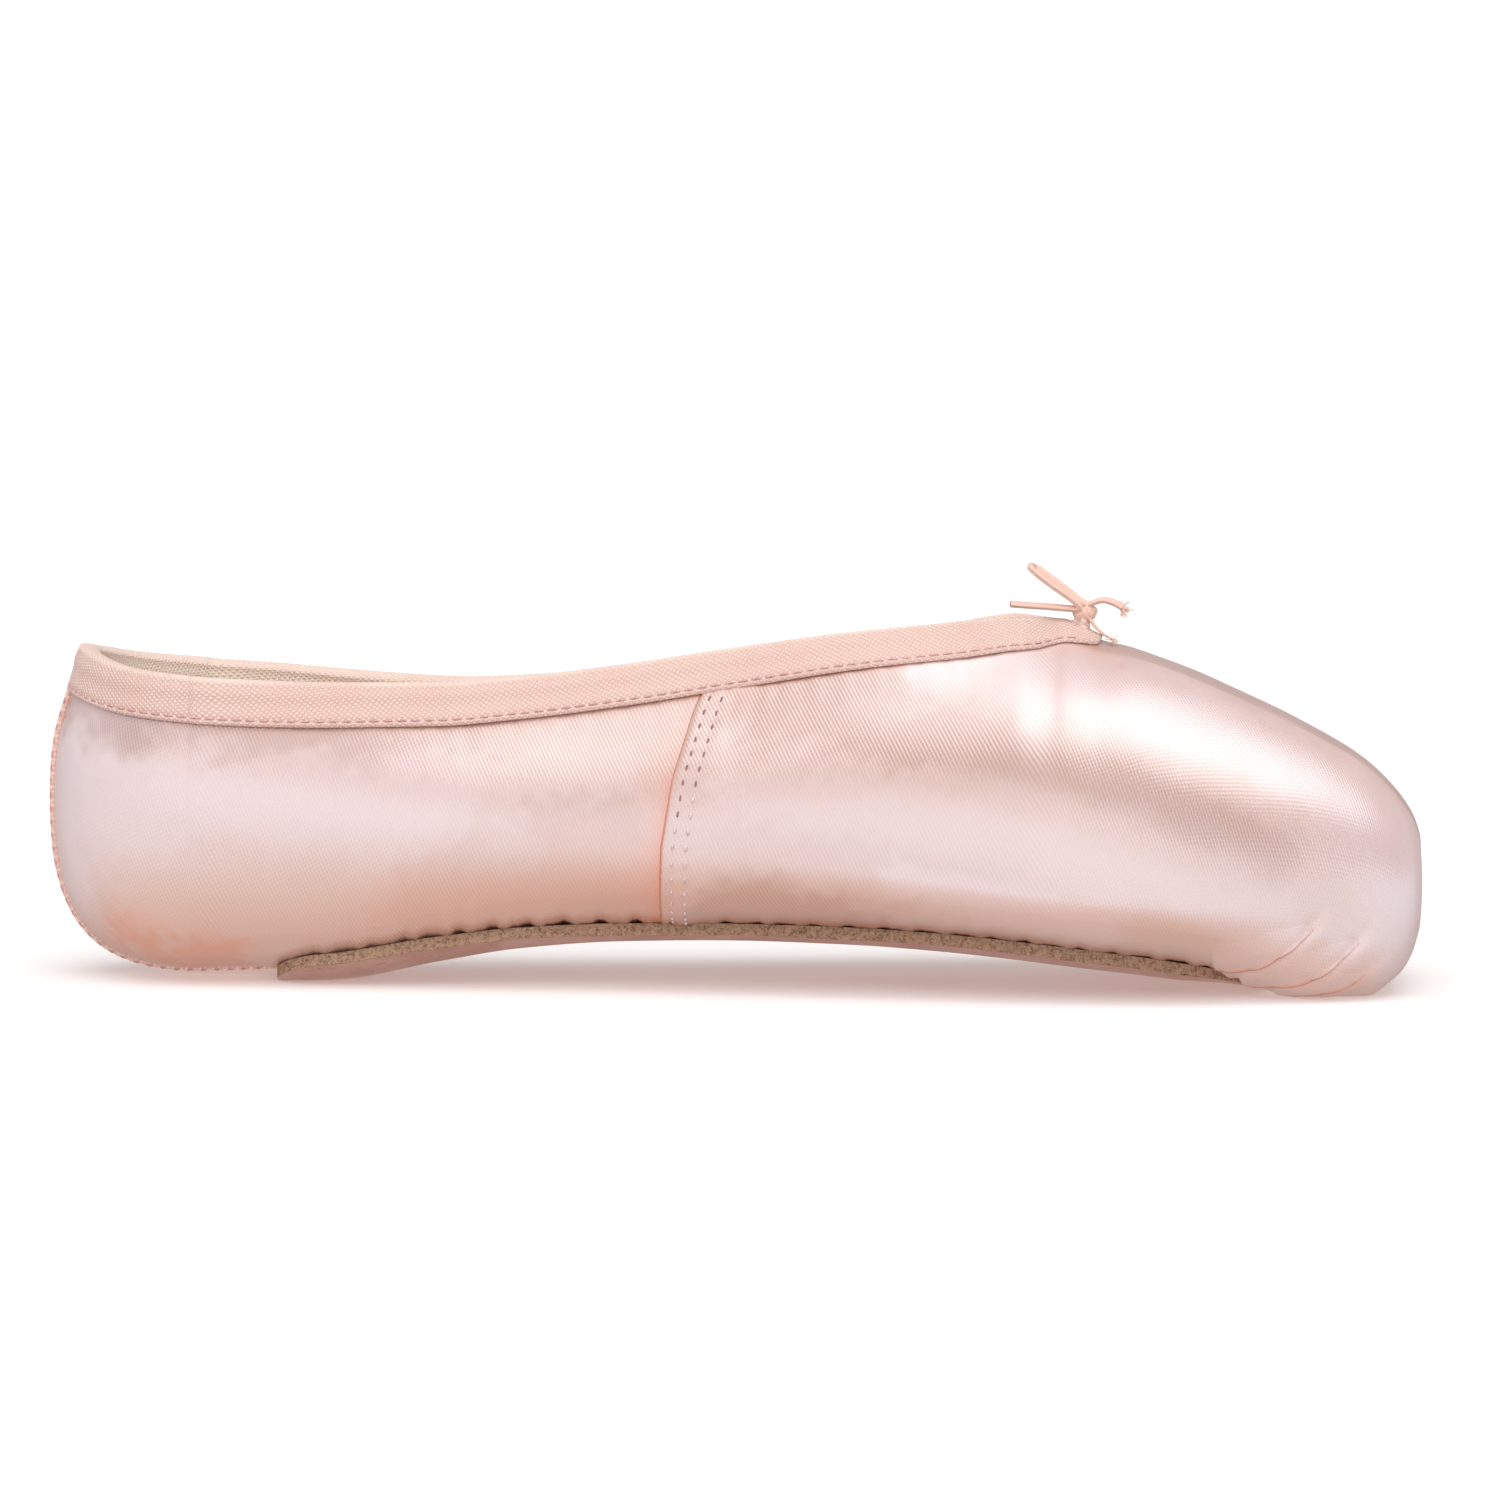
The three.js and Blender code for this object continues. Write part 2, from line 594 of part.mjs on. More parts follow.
addNode("upper", upperGeometry(), 0xf3d5cd, 0.45);
addNode("outsole", outsoleGeometry(), 0xc9a08a, 0.75);
addNode("insole", insoleGeometry(), 0xe6cfb8, 0.85);
addNode("binding", bindingGeometry(), 0xf5dbd0, 0.9);
addNode("drawstring_knot", knotGeometry(), 0xf2cdb8, 0.9);
for (const [name, points] of Object.entries(CORDS)) {
  addNode(name, cordGeometry(points, CORD_RADIUS), 0xf2cdb8, 0.9);
}

export default shoe;
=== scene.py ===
"""The pointe shoe's looks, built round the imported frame.

Lengths are in millimetres until a mesh is made, which turns them into metres. X runs along the
shoe with the toe at +X, Y across it, Z up. "side" is -1 for the near half and 1 for the far one.
"""
import math

import bpy
import numpy as np
from mathutils import Matrix, Vector


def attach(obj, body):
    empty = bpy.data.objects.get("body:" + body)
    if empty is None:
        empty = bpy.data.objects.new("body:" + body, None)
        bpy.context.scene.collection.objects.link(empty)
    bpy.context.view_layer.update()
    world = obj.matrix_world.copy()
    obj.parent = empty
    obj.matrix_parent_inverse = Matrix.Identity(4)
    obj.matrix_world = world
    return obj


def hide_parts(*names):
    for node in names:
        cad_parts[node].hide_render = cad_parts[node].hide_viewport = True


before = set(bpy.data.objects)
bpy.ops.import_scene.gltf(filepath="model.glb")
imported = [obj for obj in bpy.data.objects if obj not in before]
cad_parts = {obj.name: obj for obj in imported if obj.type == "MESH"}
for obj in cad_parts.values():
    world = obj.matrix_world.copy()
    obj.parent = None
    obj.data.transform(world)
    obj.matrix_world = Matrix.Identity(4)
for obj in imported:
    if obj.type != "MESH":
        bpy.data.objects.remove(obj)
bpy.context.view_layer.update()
CAD_NODES = list(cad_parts.values())

# ---- the last


class Table:
    """Columns against their first one, "at", read by a monotone cubic through the rows."""

    def __init__(self, text):
        lines = text.strip().split("\n")
        rows = np.array([[float(v) for v in line.split()] for line in lines[1:]])
        self.at = rows[:, 0]
        self.columns = {}
        for name, values in zip(lines[0].split(), rows.T):
            rise = np.diff(values) / np.diff(self.at)
            a, b = rise[:-1], rise[1:]
            both = np.where(a * b > 0, 2 * a * b / np.where(a + b == 0, 1, a + b), 0)
            self.columns[name] = (values, np.concatenate([rise[:1], both, rise[-1:]]))

    def __call__(self, name, at):
        values, slopes = self.columns[name]
        i = np.clip(np.searchsorted(self.at, at, "right") - 1, 0, len(self.at) - 2)
        span = self.at[i + 1] - self.at[i]
        t = np.clip((at - self.at[i]) / span, 0, 1)
        return (
            values[i] * (2 * t**3 - 3 * t**2 + 1)
            + slopes[i] * span * (t**3 - 2 * t**2 + t)
            + values[i + 1] * (3 * t**2 - 2 * t**3)
            + slopes[i + 1] * span * (t**3 - t**2)
        )


# The lasted upper. at: the run along the shoe, x up to the toe box and then round the edge of
# the platform, or behind the heel axis round to the back seam. half, wide_z: the widest place;
# bottom: the underside at the middle; edge_y, edge_z: the collar's edge or the vamp's ridge;
# lean: how far the wall leans in at the edge; belly, crown: how square the quarters are.
LAST = Table("""
at x half wide_z bottom edge_y edge_z lean belly crown wall
-134.3 -95 25.5 31 1.6 20.2 57.6 16 .72 .50 1.6
-122.8 -95 25.2 31 1.6 19.7 56.4 15 .72 .48 1.6
-108 -95 25.5 30.4 1.6 20.1 54.6 13 .71 .45 1.5
-95 -95 26 29.6 1.6 20.6 53.6 13 .70 .43 1.4
-88 -88 26.3 29.2 1.9 20.2 53.1 14 .69 .42 1.3
-81 -81 26.6 28.8 2.2 19.7 52.8 16 .68 .42 1.2
-71 -71 26.7 28.1 2.5 18.2 52.5 19 .67 .42 1.2
-52 -52 26.8 26.8 6.1 15 52.4 23 .65 .42 1.2
-38 -38 27 26.2 8.5 13.2 53.4 26 .65 .42 1.2
-20 -20 28 25.6 9.95 12 55.6 29 .64 .43 1.2
0 0 30.2 24.6 10.35 11.4 58.7 33 .63 .45 1.2
20 20 33.4 23.1 9.9 10.8 61.5 40 .61 .48 1.3
38 38 36.8 21.2 8.8 8.9 63.1 50 .59 .51 1.4
49 49 38.5 20 7.7 5.8 63.6 61 .58 .54 1.5
56.5 56.5 39.4 19.1 6.8 0 63.2 71 .57 .56 1.6
60 60 39.6 18.8 6.4 0 62 76 .57 .575 1.8
63.5 63.5 39.7 18.5 6 0 60.4 80 .57 .585 2
69 69 39.6 18.1 5.4 0 59.1 86 .57 .60 2.3
76 76 39 17.6 4.6 0 56.6 90 .58 .61 2.5
83 83 37.9 17.2 3.7 0 53.7 90 .59 .62 2.8
90 90 36.1 16.9 2.5 0 50.6 90 .61 .63 2.9
97 97 33.9 16.7 .1 0 47.3 90 .65 .65 3
104 104 31.4 16.7 -.9 0 43.6 90 .70 .66 3.1
110 109.8 28.9 16.9 -.8 0 39.9 90 .72 .66 3.2
115 113.9 26.6 17.2 1.4 0 36.2 90 .71 .65 3.3
119 116.8 24.3 17.6 4.2 0 32.7 90 .69 .63 3.4
123 118.6 21.4 18 7.7 0 29.6 90 .66 .60 3.5
128 119.5 17 18.4 11 0 26.4 90 .60 .58 3.5
138 119.8 9 18.6 15 0 22.2 90 .56 .56 3.5
150 119.8 0 18.6 18.6 0 18.6 90 .55 .55 3.5
""")
DROP = Table("""
at drop
-134.3 0
-88 0
-55 1.2
-24 2.1
0 2.2
22 2
38 1.2
49 0
150 0
""")
SOLE = Table("""
at half
-81 0
-80.6 8
-79.6 11.6
-77.5 14.2
-73 15.9
-64 16.6
-45 16
-20 15
0 15.9
20 18.9
42 22.9
58 24.6
70 23.9
79 21.3
86 17.4
90.5 12.2
92.7 7
93.4 0
""")
INSOLE = Table("""
at half
-134.3 17.5
-95 19
-60 18.6
-20 19
20 23.5
55 28.5
75 27
88 22
95 14.5
97.4 8
98 0
""")
HEEL_AXIS_X = -95
HEEL_RUN = 39.3
BACK = HEEL_AXIS_X - HEEL_RUN
THROAT = 56.5
TOE_END = 150
BINDING_WIDTH = 7.6
BINDING_TIP = 63.5
BINDING_OUT = 1.0
SEAT_GAP = 0.35
SOLE_THICK = 2.55
SOLE_TIP_THICK = 1.3
SOLE_SKIVE_FROM = 78
SOLE_HEEL = -81
SOLE_TIP = 93.4
INSOLE_GAP = 0.5
INSOLE_THICK = 1.5
INSOLE_TIP = 98
RIDGE_U = 1.999  # from this u on, a point is on the collar's edge or the vamp's ridge
WELD = 0.002  # points closer than this are one


def ease(value, start, end):
    """0 before start, 1 after end, smooth between them."""
    t = np.clip((value - start) / (end - start), 0, 1)
    return t * t * (3 - 2 * t)


def shape(name, at):
    """A column of the last, evened out along the vamp, where satin pulls smooth."""
    reach = 6 * ease(at, 22, 40) * (1 - ease(at, 84, 98))
    taps = ((-1, 1), (-0.5, 2), (0, 3), (0.5, 2), (1, 1))
    return sum(weight * LAST(name, at + tap * reach) for tap, weight in taps) / 9


def cubic(a, b, c, d, t):
    s = 1 - t
    return s**3 * a + 3 * s * s * t * b + 3 * s * t * t * c + t**3 * d


def section(at, side, u):
    """The section's curve: u is 0 at the bottom, 1 at the widest place, 2 at the collar or ridge."""
    half, wide_z, bottom = shape("half", at), shape("wide_z", at), shape("bottom", at)
    edge_y = LAST("edge_y", at)
    edge_z = LAST("edge_z", at) - np.where(side > 0, DROP("drop", at), 0)
    belly, crown = shape("belly", at), shape("crown", at)
    lean = np.radians(shape("lean", at))
    reach = crown * ((half - edge_y) * np.sin(lean) + (edge_z - wide_z) * np.cos(lean))
    t = np.clip(u, 0, 1)
    low_y = cubic(0, belly * half, half, half, t)
    low_z = cubic(bottom, bottom, wide_z - belly * (wide_z - bottom), wide_z, t)
    t = np.clip(u - 1, 0, 1)
    past = np.maximum(u - 2, 0)
    high_y = cubic(half, half, edge_y + reach * np.sin(lean), edge_y, t) - past * np.sin(lean)
    shoulder = wide_z + crown * (edge_z - wide_z)
    high_z = cubic(wide_z, shoulder, edge_z - reach * np.cos(lean), edge_z, t) + past * np.cos(lean)
    return np.where(u <= 1, low_y, high_y), np.where(u <= 1, low_z, high_z)


def surface(at, side, u):
    """The outside of the lasted upper."""
    at, side, u = np.broadcast_arrays(*[np.asarray(v, float) for v in (at, side, u)])
    past = at < BACK
    run = np.where(past, 2 * BACK - at, at)
    away, z = section(run, side, u)
    turn = np.clip((HEEL_AXIS_X - run) / HEEL_RUN, 0, 1) * math.pi / 2
    across = np.cos(turn) * np.where(past, -1, 1)
    x = np.where(run >= HEEL_AXIS_X, LAST("x", run), HEEL_AXIS_X - away * np.sin(turn))
    return np.stack([x, side * across * away, z], -1)


def unit(v):
    return v / np.maximum(np.linalg.norm(v, axis=-1, keepdims=True), 1e-9)


def normal(at, side, u):
    at, side, u = np.broadcast_arrays(*[np.asarray(v, float) for v in (at, side, u)])
    step = 0.03
    level = np.minimum(u, 2)
    along = surface(np.minimum(at + step, TOE_END), side, level) - surface(at - step, side, level)
    up = surface(at, side, np.minimum(level + step, 2)) - surface(at, side, np.maximum(level - step, 0))
    out = unit(np.cross(along, up) * np.where(side < 0, 1, -1)[..., None])
    middle = (level < 0.01) | ((level > RIDGE_U) & (at >= THROAT))
    out[..., 1] = np.where(middle, 0, out[..., 1])
    out = unit(out)
    out = np.where((at > TOE_END - 0.1)[..., None], np.array([1.0, 0, 0]), out)
    return np.where(((at <= HEEL_AXIS_X) & (u < 0.01))[..., None], np.array([0, 0, -1.0]), out)


def lifted(at, side, u, offset):
    return surface(at, side, u) + normal(at, side, u) * np.asarray(offset)[..., None]


def on_side(points, at, side, u):
    """Keeps points on their side of the middle, and closes the vamp along its ridge."""
    away = side * np.maximum(side * points[..., 1], 0)
    points[..., 1] = np.where((u > RIDGE_U) & (at >= THROAT), 0, away)
    return points


def u_across(at, away):
    """The u of the lower curve at a distance from the middle, for arrays of one shape."""
    low, high = np.zeros(np.shape(at)), np.ones(np.shape(at))
    for _ in range(30):
        middle = (low + high) / 2
        short = section(at, -1, middle)[0] < away
        low, high = np.where(short, middle, low), np.where(short, high, middle)
    return (low + high) / 2


FALL = np.linspace(2, 1.02, 240)


def u_below(at, side, length):
    """The u at which the upper curve is a length below the collar. at is a column of runs."""
    y, z = section(at[:, None], side, FALL[None, :])
    gone = np.cumsum(np.hypot(np.diff(y, axis=1), np.diff(z, axis=1)), 1)
    gone = np.concatenate([np.zeros((len(at), 1)), gone], 1)
    length = np.broadcast_to(length, (len(at), np.shape(length)[-1] if np.ndim(length) else 1))
    return np.array([np.interp(want, have, FALL) for want, have in zip(length, gone)])


def waves(a, b, seed, count=7):
    """A smooth uneven field over two lengths given in wavelengths, about -1 to 1."""
    rng = np.random.default_rng(seed)
    total = 0
    for _ in range(count):
        turn, phase, size = rng.uniform(0, math.tau), rng.uniform(0, math.tau), rng.uniform(0.6, 1.4)
        total = total + np.sin(math.tau * size * (a * math.cos(turn) + b * math.sin(turn)) + phase)
    return total / count * 1.6


def along_line(x, z, line):
    """The distance to a line of (x, z) points, positive below or ahead of it, and the share along it."""
    line = np.array(line, float)
    best = np.full(np.shape(x), 1e9)
    sign = np.ones(np.shape(x))
    part = np.zeros(np.shape(x))
    lengths = np.concatenate([[0], np.cumsum(np.hypot(*np.diff(line, axis=0).T))])
    for i in range(len(line) - 1):
        (ax, az), (bx, bz) = line[i], line[i + 1]
        dx, dz = bx - ax, bz - az
        t = np.clip(((x - ax) * dx + (z - az) * dz) / (dx * dx + dz * dz), 0, 1)
        away = np.hypot(x - ax - t * dx, z - az - t * dz)
        nearer = away < best
        best = np.where(nearer, away, best)
        sign = np.where(nearer, np.where((x - ax) * dz - (z - az) * dx > 0, 1, -1), sign)
        gone = lengths[i] + t * (lengths[i + 1] - lengths[i])
        part = np.where(nearer, gone / lengths[-1], part)
    return best * sign, part


# ---- meshes


def mesh_object(name, points, faces, uv=None, fields=None):
    """An object from points in millimetres and faces of one size or mixed."""
    mesh = bpy.data.meshes.new(name)
    mesh.from_pydata((np.asarray(points) * 0.001).tolist(), [], [[int(v) for v in f] for f in faces])
    if uv is not None:
        layer = mesh.uv_layers.new(name="cloth")
        layer.data.foreach_set("uv", np.asarray(uv, np.float32).ravel())
    for field, values in (fields or {}).items():
        made = mesh.attributes.new(field, "FLOAT", "POINT")
        made.data.foreach_set("value", np.asarray(values, np.float32))
    mesh.polygons.foreach_set("use_smooth", np.ones(len(mesh.polygons), bool))
    mesh.update()
    made = bpy.data.objects.new(name, mesh)
    bpy.context.scene.collection.objects.link(made)
    return made


def placed(made, slot_name, *replaced):
    """Rides a piece on the shoe's one body, in place of its CAD nodes. slot_name is not used."""
    if replaced:
        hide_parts(*replaced)
    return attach(made, "root")


def mirrored_pair(near, far, axis):
    """The two sides of something joined in their middle, as one grid, list by list."""
    pairs = zip(near, far)
    if axis == 0:
        return [np.concatenate([a[::-1], b[1:]], 0) for a, b in pairs]
    return [np.concatenate([a[:, ::-1], b[:, 1:]], 1) for a, b in pairs]


def grid_faces(rows, columns, wrap=False):
    across = np.arange(columns if wrap else columns - 1)
    i, j = np.meshgrid(np.arange(rows - 1), across, indexing="ij")
    a = i * columns + j
    b = i * columns + (j + 1) % columns
    return np.stack([a, b, b + columns, a + columns], -1).reshape(-1, 4)


def weld(points, faces, uv, fields):
    """Merges points that coincide and drops the faces that closes. uv is per corner of a face."""
    keys = np.round(points / WELD).astype(np.int64)
    _, first, back = np.unique(keys, axis=0, return_index=True, return_inverse=True)
    back = back.reshape(-1)
    merged = back[faces]
    kept_faces, kept_uv = [], []
    for face, corner in zip(merged, uv[faces]):
        keep = [k for k in range(4) if face[k] != face[k - 1]]
        if len(keep) >= 3 and len({face[k] for k in keep}) == len(keep):
            kept_faces.append([face[k] for k in keep])
            kept_uv.append([corner[k] for k in keep])
    return points[first], kept_faces, kept_uv, {n: v[first] for n, v in fields.items()}


def point_normals(points, faces):
    total = np.zeros_like(points)
    for size in (3, 4):
        chosen = np.array([f for f in faces if len(f) == size], int)
        if not len(chosen):
            continue
        a, b, c = points[chosen[:, 0]], points[chosen[:, 1]], points[chosen[:, 2]]
        d = points[chosen[:, 3]] if size == 4 else a
        area = np.cross(c - a, d - b) if size == 4 else np.cross(b - a, c - a)
        for k in range(size):
            np.add.at(total, chosen[:, k], area)
    return unit(total)


def shell(name, grid, uv, fields, thick, faces_out=True):
    """A closed thin piece from a grid of its seen face: the same face again, behind it, and rims."""
    rows, columns = grid.shape[:2]
    flat = {n: np.broadcast_to(v, (rows, columns)).reshape(-1) for n, v in fields.items()}
    quads = grid_faces(rows, columns)
    points, faces, corners, flat = weld(grid.reshape(-1, 3), quads, uv.reshape(-1, 2), flat)
    from_middle = points * [0, 1, 1] - [0, 0, 30]
    if (np.sum(point_normals(points, faces) * from_middle) > 0) != faces_out:
        faces = [face[::-1] for face in faces]
        corners = [corner[::-1] for corner in corners]
    inner = points - point_normals(points, faces) * thick
    count = len(points)
    edges = {}
    for face, corner in zip(faces, corners):
        for k in range(len(face)):
            edges[(face[k], face[(k + 1) % len(face)])] = (corner[k], corner[(k + 1) % len(face)])
    all_faces = list(faces) + [[v + count for v in face[::-1]] for face in faces]
    all_corners = list(corners) + [corner[::-1] for corner in corners]
    for (a, b), (p, q) in edges.items():
        if (b, a) not in edges:
            all_faces.append([b, a, a + count, b + count])
            all_corners.append([q, p, p, q])
    fields = {n: np.concatenate([v, v]) for n, v in flat.items()}
    flat_uv = np.array([c for corner in all_corners for c in corner])
    return mesh_object(name, np.concatenate([points, inner]), all_faces, flat_uv, fields)


def tube(name, rings, uv, fields=None, capped=True):
    """A closed piece from rings of points, each running round it."""
    rows, columns = rings.shape[:2]
    faces = [list(f) for f in grid_faces(rows, columns, wrap=True)]
    corners = []
    wide = np.concatenate([uv, uv[:, :1]], 1)
    for i in range(rows - 1):
        for j in range(columns):
            corners.append([wide[i, j], wide[i, j + 1], wide[i + 1, j + 1], wide[i + 1, j]])
    points = rings.reshape(-1, 3)
    flat = {n: np.broadcast_to(v, (rows, columns)).reshape(-1) for n, v in (fields or {}).items()}
    middle = rings.mean(1, keepdims=True)
    along = np.gradient(rings.mean(1), axis=0)[:, None]
    round_way = np.roll(rings, -1, 1) - np.roll(rings, 1, 1)
    inward = np.sum(np.cross(along, round_way) * (rings - middle)) < 0
    if capped:
        for row, turn in ((0, 1), (rows - 1, -1)):
            centre = len(points)
            points = np.concatenate([points, rings[row].mean(0)[None]])
            flat = {n: np.append(v, v[row * columns]) for n, v in flat.items()}
            for j in range(columns):
                a, b = row * columns + j, row * columns + (j + 1) % columns
                faces.append([centre, b, a] if turn > 0 else [centre, a, b])
                corners.append([uv[row, 0], uv[row, j], uv[row, j]])
    if not inward:
        faces, corners = [f[::-1] for f in faces], [c[::-1] for c in corners]
    flat_uv = np.array([c for corner in corners for c in corner])
    return mesh_object(name, points, faces, flat_uv, flat)


def capsules(name, ends, radius, up, sides=6):
    """Many short threads in one mesh. ends is (count, 2, 3); up is the way each arches."""
    shares = np.array([0, 0.12, 0.35, 0.65, 0.88, 1.0])
    fat = np.array([0.25, 0.8, 1, 1, 0.8, 0.25])
    points, faces = [], []
    for (a, b), lift in zip(ends, up):
        way = unit(b - a)
        flat = unit(np.cross(way, lift))
        rise = unit(np.cross(flat, way))
        base = len(points)
        for share, size in zip(shares, fat):
            centre = a + (b - a) * share + rise * radius * 0.9 * math.sin(math.pi * share)
            for k in range(sides):
                turn = math.tau * k / sides
                round_way = flat * math.cos(turn) * 1.15 + rise * math.sin(turn)
                points.append(centre + radius * size * round_way)
        for i in range(len(shares) - 1):
            for k in range(sides):
                p, q = base + i * sides + k, base + i * sides + (k + 1) % sides
                faces.append([p, q, q + sides, p + sides])
        faces.append([base + k for k in range(sides)][::-1])
        faces.append([base + (len(shares) - 1) * sides + k for k in range(sides)])
    return mesh_object(name, np.array(points), faces)


# ---- camera

ELEVATION, YAW, ROLL = math.radians(5), math.radians(-2), math.radians(0.35)
AIM = Vector((0.002, 0, 0.04065))
DISTANCE = 2.0
forward = Vector(
    (math.sin(YAW) * math.cos(ELEVATION), math.cos(YAW) * math.cos(ELEVATION), -math.sin(ELEVATION))
)
level_right = Vector((math.cos(YAW), -math.sin(YAW), 0))
level_up = level_right.cross(forward)
right = level_right * math.cos(ROLL) + level_up * math.sin(ROLL)
up = level_up * math.cos(ROLL) - level_right * math.sin(ROLL)
camera_data = bpy.data.cameras.new("camera")
camera_data.sensor_width = 36
camera_data.lens = 273
camera_data.clip_end = 20
camera = bpy.data.objects.new("camera", camera_data)
bpy.context.scene.collection.objects.link(camera)
turned = Matrix((right, up, -forward)).transposed().to_4x4()
camera.matrix_world = Matrix.Translation(AIM - forward * DISTANCE) @ turned
bpy.context.scene.camera = camera

# ---- satin

# The side seam's folded edge, on the near side, and the rows of stitches ahead of it.
SEAM = [(-11.9, 0), (-12.9, 12), (-12.5, 26), (-10.7, 37.6), (-7.4, 48.7), (-5.6, 53), (-3.5, 60)]
SEAM_ROWS = (2.2, 4.5)
STITCH_PITCH = 2.9
QUARTER_UNDER = 7  # how far the quarter runs on under the vamp
SKIN = 0.5  # the thickness of the satin and its backing
SKIN_LIFT = 0.12
FLOOR_GAP = 0.02
VAMP_STEP = 0.62  # how far the vamp's folded edge stands off the quarter
TURNED_IN = 2.5  # how far in from the sole's edge the rows begin that climb the side
UNDER_SHARE = 0.16  # the share of the girth that is under the sole

# Folds of the satin round the toe, as lines of x and z on either side, from the sole up.
# deep: how far the cloth steps in there; wide: how far the fold above it bulges.
TOE_FOLDS = [
    (1.5, 2.6, [(82.5, 6.2), (90, 6.9), (94.6, 8.9), (98.4, 11.4), (102.2, 15.4), (103.6, 18.2)]),
    (1.6, 2.4, [(87.5, 3.8), (94.5, 4.0), (100.6, 5.3), (105.6, 8.4), (109.6, 12.1), (112, 15.2)]),
    (0.8, 1.8, [(94, 1.6), (102.8, 2.7), (107.4, 3.9), (111.2, 7.1), (113, 10.0)]),
]

# Broad cloudy painted tones of the satin, for the look of its gloss: painted shade, painted reflections
# and highlights, and a painted orange glow of bounced light. Columns: kind, half width, strength, and the
# middle line as x-z points.
TONES = [
    ("shade", 6.0, 1.0, [(-122, 50), (-112, 47), (-104, 45)]),
    ("shade", 2.8, 0.45, [(-103, 45), (-90, 43.5), (-76, 42.5), (-60, 43.5), (-44, 45)]),
    ("shade", 3.2, 0.6, [(-72, 43), (-64, 39)]),
    ("shade", 2.2, 0.5, [(-56, 42), (-52, 39)]),
    ("shade", 6.0, 0.2, [(-56, 17), (-42, 20), (-28, 20), (-15, 17)]),
    ("shade", 4.0, 0.3, [(-34, 31), (-20, 31)]),
    ("shade", 5.5, 0.9, [(-4, 14), (4, 17), (13, 15), (20, 12)]),
    ("shade", 2.4, 0.7, [(18, 12), (40, 10), (60, 8), (80, 5)]),
    ("shade", 4.5, 0.7, [(2, 49), (28, 46), (52, 43), (74, 36), (94, 26)]),
    ("shade", 6.0, 0.9, [(4, 51), (18, 53), (30, 56)]),
    ("shade", 2.6, 0.2, [(64, 60), (90, 51), (106, 43)]),
    ("painted_reflection", 8.5, 0.8, [(-112, 30), (-90, 34), (-66, 33), (-50, 35)]),
    ("painted_reflection", 4.5, 0.55, [(-44, 37), (-20, 40)]),
    ("painted_reflection", 5.0, 0.6, [(-2, 36), (25, 33), (52, 27), (76, 20), (94, 14)]),
    ("painted_reflection", 5.5, 0.95, [(34, 58), (56, 55), (74, 50), (90, 44), (102, 36)]),
    ("painted_reflection", 6.5, 0.95, [(104, 34), (113, 27), (115, 16)]),
    ("painted_reflection", 7.0, 0.95, [(-118, 18), (-119, 30), (-118, 40)]),
    ("painted_reflection", 4.5, 0.9, [(28, 22), (46, 17.5), (64, 13.5)]),
    ("painted_reflection", 6.5, 0.9, [(90, 10), (102, 6), (115, 9)]),
    ("painted_glow", 3.6, 1.0, [(-106, 8.5), (-97, 4.5), (-86, 3)]),
    ("painted_glow", 7.5, 0.38, [(-58, 14), (-36, 16), (-16, 15)]),
    ("painted_glow", 4.0, 0.3, [(-30, 26), (-14, 24)]),
    ("painted_glow", 4.0, 0.25, [(0, 13), (14, 13), (24, 11)]),
    ("painted_glow", 5.0, 0.1, [(-100, 16), (-80, 14), (-60, 14)]),
]


def tone(kind, x, z, at, across):
    """The strength of one kind of painted tone: painted shade, painted reflection and painted glow are its
    kinds. Its edges are cloudy, and less so on the vamp.
    """
    cloudy = 1 - 0.6 * ease(at, 20, 44)
    x = x + cloudy * (3.5 * waves(at / 19, across / 13, 21) + 1.6 * waves(at / 4.6, across / 3.8, 24))
    z = z + cloudy * (2.4 * waves(at / 17, across / 12, 22) + 1.7 * waves(at / 4.2, across / 3.6, 23))
    power = 2 if kind == "painted_glow" else 3.5
    total = np.zeros(at.shape)
    for name, wide, strength, line in TONES:
        if name == kind:
            gap = np.abs(along_line(x, z, line)[0])
            total = np.maximum(total, strength * np.exp(-((gap / wide) ** power)))
    return total


def seam_x(z):
    return np.interp(z, [p[1] for p in SEAM], [p[0] for p in SEAM])


def sole_half(at):
    inside = (at > SOLE_HEEL) & (at < SOLE_TIP)
    return np.where(inside, SOLE("half", np.clip(at, SOLE_HEEL, SOLE_TIP)), 0)


def levels(under, side_steps):
    """The shares of the way from the bottom's middle to the collar."""
    below = np.linspace(0, UNDER_SHARE, under + 1)[:-1]
    return np.concatenate([below, np.linspace(UNDER_SHARE, 1, side_steps + 1)])


def u_grid(at, share):
    """u at a share of the girth."""
    at = np.broadcast_to(at, np.broadcast_shapes(np.shape(at), np.shape(share)))
    turn_in = u_across(at, np.maximum(sole_half(at) - TURNED_IN, 0.12 * LAST("half", at)))
    share = np.broadcast_to(share, at.shape)
    low = turn_in * share / UNDER_SHARE
    high = turn_in + (2 - turn_in) * ((share - UNDER_SHARE) / (1 - UNDER_SHARE))
    return np.where(share < UNDER_SHARE, low, high)


def seam_run(side, share):
    """The run at which the seam crosses each level of the girth."""
    at = np.full(np.shape(share), -11.0)
    for _ in range(3):
        at = seam_x(surface(at, side, u_grid(at, share))[..., 2])
    if side > 0:  # under the binding the far seam meets the near one, so the ridge joins
        at = at + (seam_run(-1, share) - at) * ease(share, 0.94, 1)
    return at


def over_ridge(at, side, girth):
    """The length below the collar, made to run on over the vamp's ridge to the far side."""
    return girth * np.where(side > 0, 1 - 2 * ease(at, 10, 40), 1)


def bell(distance, wide):
    return np.exp(-((distance / wide) ** 2))


def wobbly(at, pitch, swing, slow, share, quick, phase=0):
    """A ripple whose pitch wanders, with a share of a quicker one on it."""
    first = np.sin(math.tau * at / pitch + swing * np.sin(at / slow))
    return first + share * np.sin(math.tau * at / quick + phase)


